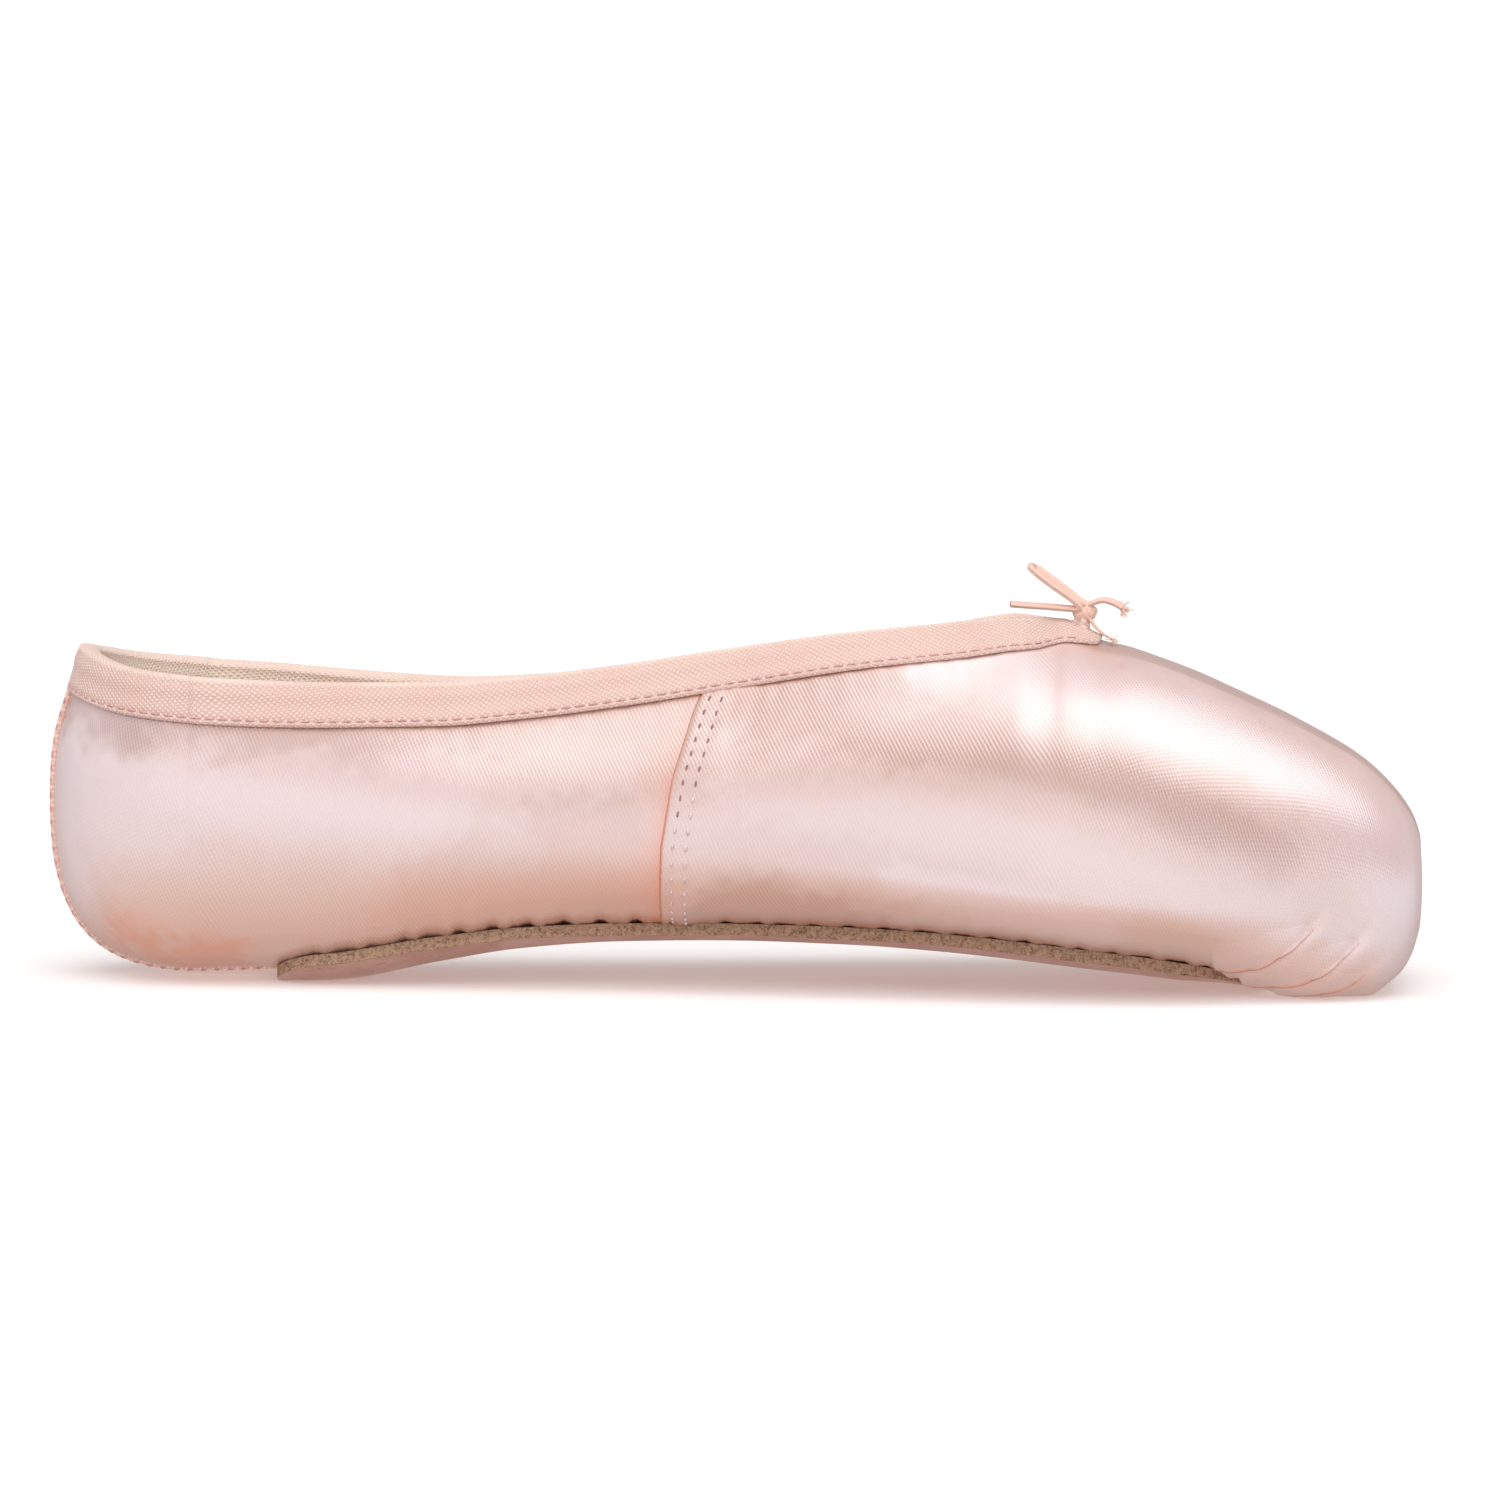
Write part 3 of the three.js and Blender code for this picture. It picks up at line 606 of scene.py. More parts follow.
def satin_relief(points, at, side, u, girth):
    """How far the satin stands off the last, and its painted orange glow and painted crevice shade.

    girth is the length below the collar.
    """
    x, z = points[..., 0], points[..., 2]
    across = over_ridge(at, side, girth)
    relief = 0.10 * waves(at / 34, across / 26, 3) + 0.05 * waves(at / 13, across / 17, 8)
    # Gathers above the sole.
    over_sole = ease(at, -82, -74) * (1 - ease(at, 84, 93))
    edge_u = u_across(at, np.maximum(sole_half(at), 1))
    above = np.maximum(girth_between(at, side, edge_u, u), 0)
    pinch = np.exp(-above / 5.5) * over_sole
    strength = 0.16 + 0.16 * ease(at, -62, -45) * (1 - ease(at, -14, -6)) + 0.1 * ease(at, 60, 84)
    relief = relief + strength * pinch * wobbly(at, 5.7, 1.6, 9.0, 0.6, 3.1, 2)
    # Ripples below the binding, and the puckers where the seam runs under it.
    below_tape = np.maximum(girth - BINDING_WIDTH, 0)
    ripple = wobbly(at, 4.6, 1.3, 7.0, 0.5, 2.7)
    relief = relief + 0.05 * np.exp(-below_tape / 4.0) * ripple * (1 - ease(at, 44, 56))
    bunch = bell(at - 2.2 + 0.25 * (girth - 8), 3.4) * bell(np.maximum(girth - 8, 0), 4.2)
    relief = relief + 0.12 * bunch * np.sin(math.tau * (at + 0.25 * girth) / 1.35)
    # A painted orange glow in the seam's puckers.
    painted_glow = 0.25 * bunch
    for deep, wide, line in TOE_FOLDS:
        away, part = along_line(x, z, line)
        held = ease(part, 0, 0.12) * (1 - ease(part, 0.75, 1.0))
        swell = np.where(away > 0, (1 - np.exp(-away / 0.7)) * np.exp(-away / (1.6 * wide)), 0)
        relief = relief + deep * held * (swell - 0.25 * bell(away, 1.0))
        # A painted orange glow just below each fold's line, fading up the fold.
        low = 1 - 0.8 * ease(part, 0.3, 0.8)
        painted_glow = painted_glow + 1.1 * held * low * np.where(away > 0, bell(away, 1.3), 0)
    # Pleats fanned out under the toe.
    under = ease(at, 90, 97) * (1 - ease(at, 116, 124)) * (1 - ease(z, 1.5, 7))
    spread = np.arctan2(np.abs(points[..., 1]), np.maximum(x - 84, 1))
    relief = relief + 0.3 * under * (np.abs(np.sin(spread * 9)) ** 0.6 - 0.6) * ease(x, 90, 96)
    # Painted shade in the crevice above the sole and under the binding's edge, and a painted orange glow
    # just below the binding.
    dark = 0.5 * over_sole * bell(above, 0.9) * (u < 1)
    dark = np.maximum(dark, 0.35 * bell(below_tape, 0.5))
    painted_glow = painted_glow + 0.5 * bell(below_tape, 0.9) * (at < BINDING_TIP)
    return relief, painted_glow, dark


GIRTH_STEPS = np.linspace(0, 1, 24)


def girth_between(at, side, u_from, u_to):
    """The length of the section's curve between two values of u."""
    total = 0
    y0, z0 = section(at, side, u_from)
    for share in GIRTH_STEPS[1:]:
        y1, z1 = section(at, side, u_from + (u_to - u_from) * share)
        total = total + np.hypot(y1 - y0, z1 - z0)
        y0, z0 = y1, z1
    return total * np.sign(u_to - u_from)


def girth_below(at, side, u):
    """The length of the section's curve from the collar or ridge down to u."""
    return girth_between(at, side, u, np.full(at.shape, 2.0))


def cloth_lengths(at, side, girth):
    """A texture place on the cloth: along the shoe, and round it from the collar."""
    return np.stack([at, girth * -side], -1)


# The satin's painted light and shade, one field each: a painted orange glow of bounced light, painted
# shade, painted reflections and highlights, and painted shade in crevices.
TONE_NAMES = ("painted_glow", "shade", "painted_reflection", "dark")


def tone_fields(bare, at, across, painted_glow, dark):
    tones = [tone(kind, bare[..., 0], bare[..., 2], at, across) for kind in TONE_NAMES[:3]]
    tones[0] = np.clip(painted_glow + tones[0], 0, 1.2)
    return np.stack([*tones, dark], -1)


def satin_half(side, shares, run_of, edge_lift):
    """One side of a satin piece: points, cloth lengths and fields, rows along the shoe."""
    at = run_of(side, shares)
    u = u_grid(at, shares[None, :])
    bare = surface(at, side, u)
    girth = girth_below(at, side, u)
    relief, painted_glow, dark = satin_relief(bare, at, side, u, girth)
    from_seam = at - seam_run(side, shares)[None, :]
    relief = relief + edge_lift(from_seam)
    sunk = sum(bell(from_seam - row, 0.55) for row in SEAM_ROWS)
    relief = relief - sunk * (0.13 + 0.07 * np.cos(math.tau * girth / STITCH_PITCH))
    under_tape = 1 - ease(girth, BINDING_WIDTH - 2, BINDING_WIDTH + 0.5)
    calm = ease(u, 0.0, 0.25) * np.where(at > THROAT, 1, 1 - under_tape)
    points = bare + normal(at, side, u) * (SKIN_LIFT + relief * calm)[..., None]
    points[..., 2] = np.maximum(points[..., 2], FLOOR_GAP)
    # A painted orange glow on the satin just behind the seam's fold, weaker higher up.
    behind_seam = np.exp(-np.maximum(-from_seam, 0) / 2.2) * (from_seam < 0.2)
    painted_glow = painted_glow + behind_seam * (1 - ease(bare[..., 2], 30, 50) * 0.7)
    fields = tone_fields(bare, at, over_ridge(at, side, girth), painted_glow, dark)
    return on_side(points, at, side, u), cloth_lengths(at, side, girth), fields


def satin_piece(name, shares, run_of, edge_lift):
    halves = [satin_half(side, shares, run_of, edge_lift) for side in (-1, 1)]
    points, cloth, tones = mirrored_pair(*halves, axis=1)
    fields = {kind: tones[..., k] for k, kind in enumerate(TONE_NAMES)}
    return placed(shell(name, points, cloth, fields, SKIN), "satin", "upper")


STEP = 1.0
SHARES = levels(8, 76)


def quarter_runs(side, shares):
    last = seam_run(side, shares) + QUARTER_UNDER
    rows = int((last.mean() - BACK) / STEP)
    return BACK + (last[None, :] - BACK) * np.linspace(0, 1, rows)[:, None]


def vamp_runs(side, shares):
    """Rows from the seam to the middle of the platform, closest at the seam and round the toe."""
    start = seam_run(side, shares)
    near_seam = np.linspace(0, 7, int(9 / STEP))
    body = np.linspace(7, 96, int(89 / STEP))[1:]
    toe = np.linspace(96, 132, int(60 / STEP))[1:]
    end = np.linspace(132, TOE_END + 12, int(26 / STEP))[1:]
    steps = np.concatenate([near_seam, body, toe, end]) / (TOE_END + 12)
    return start[None, :] + (TOE_END - start[None, :]) * steps[:, None]


def vamp_edge(from_seam):
    rolled = 1 - (1 - np.clip(from_seam / 0.7, 0, 1)) ** 2
    return VAMP_STEP * np.sqrt(np.clip(rolled, 0, 1)) * (1 - 0.75 * ease(from_seam, 5, 11))


def quarter_edge(from_seam):
    return -0.02 - 0.1 * ease(from_seam, 0, 4)


quarter = satin_piece("quarter", SHARES, quarter_runs, quarter_edge)
vamp = satin_piece("vamp", SHARES, vamp_runs, vamp_edge)


def smooth_line(points, count):
    """A round curve through points, in even steps."""
    points = np.array(points, float)
    ends = np.concatenate([[2 * points[0] - points[1]], points, [2 * points[-1] - points[-2]]])
    dense = []
    for i in range(len(points) - 1):
        a, b, c, d = ends[i : i + 4]
        square, cube = 2 * a - 5 * b + 4 * c - d, 3 * b - a - 3 * c + d
        for t in np.linspace(0, 1, 24, endpoint=False):
            dense.append(0.5 * (2 * b + (c - a) * t + square * t**2 + cube * t**3))
    dense = np.array(dense + [points[-1]])
    gone = np.concatenate([[0], np.cumsum(np.linalg.norm(np.diff(dense, axis=0), axis=1))])
    even = np.linspace(0, gone[-1], count)
    return np.stack([np.interp(even, gone, dense[:, k]) for k in range(3)], -1), gone[-1]


def on_surface(x, z, side):
    """The run and the level of the last at a place in the side view, found from the nearest of many."""
    runs, heights = np.linspace(70, TOE_END - 1, 160), np.linspace(0.02, 1.5, 90)
    tries_at, tries_u = np.meshgrid(runs, heights, indexing="ij")
    seen = surface(tries_at, side, tries_u)
    gap = (x[:, None] - seen[..., 0].ravel()) ** 2 + (z[:, None] - seen[..., 2].ravel()) ** 2
    best = gap.argmin(1)
    at, u = tries_at.ravel()[best], tries_u.ravel()[best]
    for _ in range(6):
        here, ahead, above = [surface(a, side, v) for a, v in ((at, u), (at + 0.05, u), (at, u + 0.002))]
        jx, jz = (ahead - here)[:, 0] / 0.05, (ahead - here)[:, 2] / 0.05
        kx, kz = (above - here)[:, 0] / 0.002, (above - here)[:, 2] / 0.002
        dx, dz = x - here[:, 0], z - here[:, 2]
        det = jx * kz - jz * kx
        det = np.where(np.abs(det) < 1e-3, 1e-3, det)
        at = np.clip(at + np.clip((dx * kz - dz * kx) / det, -1, 1), 70, TOE_END - 0.5)
        u = np.clip(u + np.clip((jx * dz - jz * dx) / det, -0.05, 0.05), 0.01, 1.6)
    return at, u


# A pleat's section: distance back from its folded edge, and height.
PLEAT_BACK = np.linspace(0.4, 9.5, 22)
PLEAT_ACROSS = np.concatenate([[-0.15, -0.3, -0.32, -0.2, 0.0, 0.15], PLEAT_BACK])
PLEAT_RISE = np.concatenate([[-0.7, -0.2, 0.45, 0.85, 1.0, 1.0], 1.3 * np.exp(-PLEAT_BACK / 3.2) - 0.2])


def pleat(number, side):
    """One flat pleat at the side of the toe: satin lapped over the next, open along its lower edge."""
    deep, _, line = TOE_FOLDS[number]
    run, _ = smooth_line([(x, 0, z) for x, z in line], 90)
    way = unit(np.gradient(run, axis=0))
    back = np.stack([-way[:, 2], 0 * way[:, 0], way[:, 0]], -1)
    place = run[:, None] + back[:, None] * PLEAT_ACROSS[None, :, None]
    part = np.linspace(0, 1, len(run))[:, None]
    held = ease(part, 0, 0.08) * (1 - ease(part, 0.4, 1.0))
    at, u = on_surface(place[..., 0].ravel(), place[..., 2].ravel(), side)
    at, u = at.reshape(place.shape[:2]), u.reshape(place.shape[:2])
    bare = surface(at, side, u)
    girth = girth_below(at, side, u)
    relief, painted_glow, _ = satin_relief(bare, at, side, u, girth)
    height = SKIN_LIFT + relief + 0.95 * deep * held * PLEAT_RISE[None, :] - 0.25 * (1 - held)
    points = bare + normal(at, side, u) * height[..., None]
    points[..., 2] = np.maximum(points[..., 2], FLOOR_GAP)
    # A painted orange glow along the pleat's folded edge, and painted shade in the gap under it.
    edge = bell(PLEAT_ACROSS[None, :] + 0.2, 0.35) * held
    under = ease(-PLEAT_ACROSS[None, :], 0.1, 0.3) * held
    across = over_ridge(at, side, girth)
    fields = tone_fields(bare, at, across, np.clip(painted_glow * 0.3 + 1.0 * edge, 0, 1), 0.9 * under)
    fields = {kind: fields[..., k] for k, kind in enumerate(TONE_NAMES)}
    name = f"pleat_{number}_{'near' if side < 0 else 'far'}"
    return placed(shell(name, points, cloth_lengths(at, side, girth), fields, 0.15), "satin")


pleats = [pleat(number, side) for number in range(len(TOE_FOLDS)) for side in (-1, 1)]

# ---- lining and insole


def wall(at):
    return LAST("wall", at)


def lining_half(side, at, shares):
    u = u_grid(at[:, None], shares[None, :])
    at = np.broadcast_to(at[:, None], u.shape)
    points = on_side(lifted(at, side, u, -wall(at) - 0.05), at, side, u)
    return points, cloth_lengths(at, side, girth_below(at, side, u))


lining_at = np.concatenate([np.linspace(BACK, 96, 130), np.linspace(96, TOE_END, 60)[1:]])
lining_shares = levels(6, 34)
lining_halves = [lining_half(side, lining_at, lining_shares) for side in (-1, 1)]
lining_grid, lining_cloth = mirrored_pair(*lining_halves, axis=1)
lining = placed(shell("lining", lining_grid, lining_cloth, {}, 0.4, faces_out=False), "insole_cloth")

sock_at = np.linspace(BACK, INSOLE_TIP, 210)[:, None]
sock_share = np.linspace(-1, 1, 41)[None, :]
sock_half = INSOLE("half", sock_at)
sock_side = np.where(sock_share < 0, -1, 1)
sock_at_all = np.broadcast_to(sock_at, (sock_at.size, sock_share.size))
sock_u = u_across(sock_at_all, np.abs(sock_share) * sock_half)
sock_top = -wall(sock_at) - INSOLE_GAP - INSOLE_THICK + 0.12 * waves(sock_at / 30, sock_share * 1.2, 5)
sock_top = sock_top + 0.35 * ease(np.abs(sock_share), 0.94, 1.0)
sock_points = lifted(sock_at_all, sock_side, sock_u, sock_top)
sock_points = on_side(sock_points, sock_at_all, sock_side, sock_u)
sock_cloth = np.stack([sock_at_all, sock_share * sock_half], -1)
sock = placed(shell("sock", sock_points, sock_cloth, {}, 1.3, faces_out=False), "insole_cloth", "insole")

# ---- binding

LEG_SHARES = np.concatenate([[1.0, 0.985, 0.96], np.linspace(0.92, 0.06, 22)])
RIM_TURNS = np.radians(np.linspace(12, 168, 11))
HIDDEN_SHARES = np.array([0.98, 0.6, 0.1])
STITCH_UP = 1.0  # the binding's line of stitches, above its lower edge


def binding_width(at):
    left = np.clip((BINDING_TIP - at) / (BINDING_TIP - THROAT + 4), 0, 1)
    fuller = 1 + 0.12 * ease(at, 20, 48) + 0.16 * ease(at, 46, 57)
    return np.maximum(BINDING_WIDTH * fuller * left**0.3, 0.15)


def binding_out(at, below, width):
    """How far the outer leg stands off the last at a length below the collar."""
    from_stitches = width - below - STITCH_UP
    cord = 0.28 * bell(below - 1.9, 1.3)
    sewn = 0.22 * bell(from_stitches, 0.45)
    puffed = 0.05 * np.sin(math.tau * at / 2.4) * bell(from_stitches, 0.9)
    edge = 0.55 * (1 - ease(width - below, 0, 0.28))
    return BINDING_OUT + 0.08 + cord - sewn + puffed - edge + 0.05 * waves(at / 21, below / 9, 11)


def binding_rings(side, at):
    """Round the tape: up its outer leg, over the rim, down the inner leg and back inside the fold."""
    width = binding_width(at)[:, None]
    thick = wall(at)[:, None]
    column = np.ones((len(at), 1))
    legs = []
    outer_below = LEG_SHARES[None, :] * width
    legs.append((u_below(at, side, outer_below), binding_out(at[:, None], outer_below, width)))
    rise = 1.05 * np.sin(RIM_TURNS)[None, :] * column
    middle, reach = -thick / 2, thick / 2 + BINDING_OUT + 0.18
    legs.append((2 + rise, middle + reach * np.cos(RIM_TURNS)[None, :]))
    inner_below = LEG_SHARES[::-1][None, :] * width
    inner_out = -thick - binding_out(at[:, None], inner_below, width) + 0.1
    legs.append((u_below(at, side, inner_below), inner_out))
    hidden_below = HIDDEN_SHARES[None, :] * width
    legs.append((u_below(at, side, hidden_below), -thick - 0.3 + 0 * hidden_below))
    legs.append((u_below(at, side, hidden_below[:, ::-1]), 0.25 + 0 * hidden_below))
    u = np.concatenate([leg[0] for leg in legs], 1)
    out = np.concatenate([leg[1] for leg in legs], 1)
    at_all = np.broadcast_to(at[:, None], u.shape)
    points = lifted(at_all, side, u, out)
    inside = np.where(at_all > HEEL_AXIS_X, 0.02, 0.0)
    points[..., 1] = side * np.maximum(side * points[..., 1], inside)
    steps = np.linalg.norm(np.diff(points, axis=1), axis=2)
    round_length = np.concatenate([np.zeros((len(at), 1)), np.cumsum(steps, 1)], 1)
    counts = [leg[0].shape[1] for leg in legs]
    # The tape's inner leg and the fold inside are painted lighter: painted light on the inside of the
    # collar.
    inner = np.repeat([0.0, 0.4, 1.0, 1.0, 0.0], counts) * np.ones((len(at), 1))
    return points, np.stack([at_all * -side, round_length], -1), inner


binding_at = np.concatenate([np.linspace(BACK, 48, 206), np.linspace(48, BINDING_TIP, 47)[1:]])
near, far = [binding_rings(side, binding_at) for side in (-1, 1)]
far[1][...] += [2 * BACK, 0]  # the weave runs on round the heel
binding_points, binding_cloth, binding_inner_painted_light = mirrored_pair(near, far, axis=0)
binding = tube("binding_tape", binding_points, binding_cloth, {"inner": binding_inner_painted_light})
placed(binding, "cotton_tape", "binding")

# ---- outsole

SOLE_BEVEL = 0.4  # how much the smooth underside turns up at its edge
sole_at = np.concatenate([
    SOLE_HEEL + 4 * np.linspace(0, 1, 12) ** 2,
    np.linspace(SOLE_HEEL + 4, SOLE_TIP - 8, 190)[1:],
    SOLE_TIP - 8 * np.linspace(1, 0, 22)[1:] ** 1.7,
])


def sole_thick(at):
    skived = np.clip((at - SOLE_SKIVE_FROM) / (SOLE_TIP - SOLE_SKIVE_FROM), 0, 1)
    return SOLE_THICK + (SOLE_TIP_THICK - SOLE_THICK) * skived


def sole_rings(at):
    """Round the section: over the top from near to far, down the cut edge, and back underneath."""
    at = at[:, None]
    half = sole_half(at)
    thick = sole_thick(at)
    top = np.linspace(-1, 1, 17)[None, :]
    rounded = np.concatenate([[0, 0.015], np.linspace(0.03, 0.3, 8)])
    under = np.concatenate([1 - rounded, np.linspace(0.6, -0.6, 9), rounded[::-1] - 1])[None, :]
    down = np.linspace(0.08, 0.95, 5)[None, :]
    cut = np.ones_like(down)
    nick = 0.5 * bell(at - 79.4, 0.5)
    bevel = SOLE_BEVEL * np.clip(thick / SOLE_THICK, 0.4, 1) + 0.15 * waves(at / 24, 0 * at, 17)
    deep = thick - bevel
    close = ease(np.abs(under), 0.72, 1.0) ** 1.5
    below = SEAT_GAP + thick - (bevel + nick * (under < 0)) * close

    def ring(*parts):
        return np.concatenate([part + 0 * at for part in parts], 1)

    share = ring(top, cut, under, -cut)
    out = ring(SEAT_GAP + 0 * top, SEAT_GAP + deep * down, below, SEAT_GAP + deep * down[:, ::-1])
    edge = ring(0.6 + 0 * top, cut, (np.abs(under) > 0.99) * 1.0, cut)
    at_all = np.broadcast_to(at, share.shape)
    fuzz = 0.07 * waves(at_all / 2.4, out / 1.3, 23, 12) + 0.10 * waves(at_all / 6.5, share, 29, 9)
    rim = (edge > 0.9) * np.clip(half / 6, 0, 1)
    away = np.maximum(np.abs(share) * half + fuzz * rim, 0)
    side = np.where(share < 0, -1, 1)
    u = u_across(at_all, away)
    points = on_side(lifted(at_all, side, u, out), at_all, side, u)
    points[..., 2] = np.maximum(points[..., 2], 0)
    return points, np.stack([at_all, share * half + 6 * out], -1), edge


sole_points, sole_cloth, sole_edge = sole_rings(sole_at)
outsole = tube("outsole_leather", sole_points, sole_cloth, {"edge": sole_edge}, capped=False)
placed(outsole, "sole_leather", "outsole")

# ---- heel tape

TAPE_HALF = 1.9
tape_u = np.linspace(1.86, 0, 90)
tape_run = np.linspace(HEEL_AXIS_X, -79.5, 22)[1:]
tape_at = np.concatenate([np.full(tape_u.shape, BACK), tape_run])
tape_level = np.concatenate([tape_u, 0 * tape_run])
tape_line = surface(tape_at, -1, tape_level)
tape_out = normal(tape_at, -1, tape_level)
tape_out[:, 1] = 0
tape_out[len(tape_u) - 1 :] = [0, 0, -1]
tape_out = unit(tape_out)
tape_across = np.array([-1, -0.9, -0.6, -0.3, 0, 0.3, 0.6, 0.9, 1, 0.9, 0.3, -0.3, -0.9])
tape_high = np.array([0.45, 0.8, 0.88, 0.92, 0.93, 0.92, 0.88, 0.8, 0.45, -0.3, -0.3, -0.3, -0.3])
steps = np.concatenate([[0], np.cumsum(np.linalg.norm(np.diff(tape_line, axis=0), axis=1))])
ribs = 0.05 * np.sin(math.tau * steps / 1.2)[:, None] * (tape_high > 0.5)
tape_points = (
    tape_line[:, None]
    + tape_out[:, None] * (tape_high[None, :, None] + ribs[..., None])
    + np.array([0, TAPE_HALF, 0]) * tape_across[None, :, None]
)
tape_cloth = np.stack(np.broadcast_arrays(steps[:, None], tape_across[None, :] * TAPE_HALF), -1)
heel_tape = placed(tube("heel_tape", tape_points, tape_cloth), "cotton_tape")

# ---- stitches


def thread_run(points, outs, length, gap, slant=None):
    """Stitches along a line of points: their ends, and the way each faces."""
    gone = np.concatenate([[0], np.cumsum(np.linalg.norm(np.diff(points, axis=0), axis=1))])
    count = int(gone[-1] // (length + gap))
    ends, faces = [], []
    for i in range(count):
        a, b = i * (length + gap) + gap / 2, i * (length + gap) + gap / 2 + length
        p, q = [np.array([np.interp(v, gone, points[:, k]) for k in range(3)]) for v in (a, b)]
        out = unit(np.array([np.interp((a + b) / 2, gone, outs[:, k]) for k in range(3)]))
        if slant is not None:
            shift = np.cross(unit(q - p), out) * slant
            p, q = p - shift, q + shift
        ends.append((p, q))
        faces.append(out)
    return ends, faces


def seam_line(side, row):
    shares = np.linspace(0.165, 0.93, 120)
    at = seam_run(side, shares) + row
    u = u_grid(at, shares)
    relief = satin_relief(surface(at, side, u), at, side, u, girth_below(at, side, u))[0]
    height = SKIN_LIFT + relief + vamp_edge(row + 0 * at) - 0.06
    return lifted(at, side, u, height), normal(at, side, u)


thread, needle = [], []
for side in (-1, 1):
    for row in SEAM_ROWS:
        ends, faces = thread_run(*seam_line(side, row), 1.15, STITCH_PITCH - 1.15)
        for pair, face in zip(ends, faces):
            (needle if pair[0][2] > 22 + 3 * row else thread).append((pair, face))
binding_line_at = np.linspace(BACK, BINDING_TIP - 4, 500)
binding_thread = []
for side in (-1, 1):
    below = binding_width(binding_line_at) - STITCH_UP
    u = u_below(binding_line_at, side, below[:, None])[:, 0]
    line = lifted(binding_line_at, side, u, BINDING_OUT - 0.06)
    ends, faces = thread_run(line, normal(binding_line_at, side, u), 1.8, 0.6)
    binding_thread += list(zip(ends, faces))
for away in (-1, 1):
    line = tape_line + tape_out * 0.55 + np.array([0, away * (TAPE_HALF + 0.1), 0])
    ends, faces = thread_run(line[6:-4], tape_out[6:-4], 1.3, 1.1, slant=0.45 * away)
    binding_thread += list(zip(ends, faces))


def thread_piece(name, pairs, radius, slot_name):
    return placed(capsules(name, [p for p, _ in pairs], radius, [f for _, f in pairs]), slot_name)


seam_thread = thread_piece("seam_thread", thread, 0.2, "satin")
seam_needle = thread_piece("seam_needle_marks", needle, 0.15, "satin")
tape_thread = thread_piece("tape_thread", binding_thread, 0.16, "cotton_tape")

# ---- drawstring

# The cord's middle line, from its back end through the knot, out round the loop, back through
# the knot and on to its front end.
CORD_LINE = [
    (47.6, -3.0, 67.0), (50.8, -2.5, 66.75), (54.2, -1.8, 66.5), (57.4, -1.0, 66.2), (59.8, -0.7, 66.1),
    (59.4, -1.2, 67.0), (57.9, -1.5, 68.2), (55.6, -1.8, 69.8), (53.4, -1.9, 71.4), (51.9, -1.8, 72.6),
    (51.2, -1.3, 73.3), (51.8, -0.7, 73.4), (53.4, -0.5, 72.3), (55.6, -0.3, 70.7), (57.9, -0.2, 69.0),
    (59.8, -0.3, 67.5), (61.2, -0.3, 66.9), (62.4, -0.4, 67.3), (64.0, -0.8, 67.7), (65.9, -1.2, 67.2),
    (67.4, -1.5, 66.4),
]
CORD_WIDE = 2.0
CORD_FLAT = 1.0
CORD_SIDES = 14
CORD_RIBS = 0.05


def cord_tube(name, line, wide, flat):
    """A flat woven cord along a line; wide and flat may change along it."""
    count = len(line)
    way = unit(np.gradient(line, axis=0))
    across = unit(np.cross(way, np.cross(way, [0.25, 1.0, 0.15])))
    rise = unit(np.cross(across, way))
    turn = math.tau * np.arange(CORD_SIDES) / CORD_SIDES
    wide, flat = [np.broadcast_to(v, count)[:, None, None] / 2 for v in (wide, flat)]
    gone = np.linspace(0, 1, count)[:, None] * np.linalg.norm(np.diff(line, axis=0), axis=1).sum()
    weave = 1 + CORD_RIBS * np.sin(math.tau * gone / 0.62 + 3 * turn[None, :])
    cosine, sine = np.cos(turn)[None, :, None], np.sin(turn)[None, :, None]
    square = (np.abs(cosine) ** 4 + np.abs(sine) ** 4) ** -0.18
    away = across[:, None] * wide * cosine + rise[:, None] * flat * sine
    cloth = np.stack(np.broadcast_arrays(gone, (turn / math.tau * 4)[None, :]), -1)
    return placed(tube(name, line[:, None] + weave[..., None] * square * away, cloth), "drawstring_cotton")


cord_line, cord_length = smooth_line(CORD_LINE, 190)
drawstring = cord_tube("drawstring", cord_line, CORD_WIDE, CORD_FLAT)
NECK = [(60.7, 0, 65.6), (60.4, 0, 64.6), (60.0, 0, 63.4), (59.2, 0, 61.8)]
TAIL = [(61.4, -0.9, 64.6), (62.4, -1.6, 63.2), (63.8, -2.1, 61.9), (65.4, -2.4, 61.0)]
neck_size = 1.9 + 3.6 * np.linspace(0, 1, 24) ** 1.6
neck = cord_tube("drawstring_neck", smooth_line(NECK, 24)[0], neck_size, neck_size)
tail_size = np.linspace(0.9, 0.5, 24), np.linspace(0.6, 0.4, 24)
tail = cord_tube("drawstring_tail", smooth_line(TAIL, 24)[0], *tail_size)

KNOT_AT = np.array([60.8, 0, 65.5])


def knot_points():
    """Two bands of cord drawn tight across one another."""
    shares = np.linspace(-1, 1, 25), np.linspace(0, 1, 36, endpoint=False)
    lat, lon = np.meshgrid(*shares, indexing="ij")
    lat, lon = lat * math.pi / 2, lon * math.tau
    ball = np.stack([np.sin(lat), np.cos(lat) * np.cos(lon), np.cos(lat) * np.sin(lon)], -1)
    band = np.sin(5.2 * ball[..., 0] + 1.8 * ball[..., 2] + 0.6)
    swell = 1 + 0.10 * band - 0.22 * bell(ball[..., 0] + 0.45 * ball[..., 2] - 0.15, 0.12)
    size = np.array([2.15, 1.75, 1.65])
    return KNOT_AT + ball * size * swell[..., None]


knot_rings = knot_points()[1:-1]
knot_cloth = np.stack(np.meshgrid(np.arange(23) * 0.25, np.arange(36) * 0.3, indexing="ij"), -1)
knot = placed(tube("drawstring_knot_tied", knot_rings, knot_cloth), "drawstring_cotton")

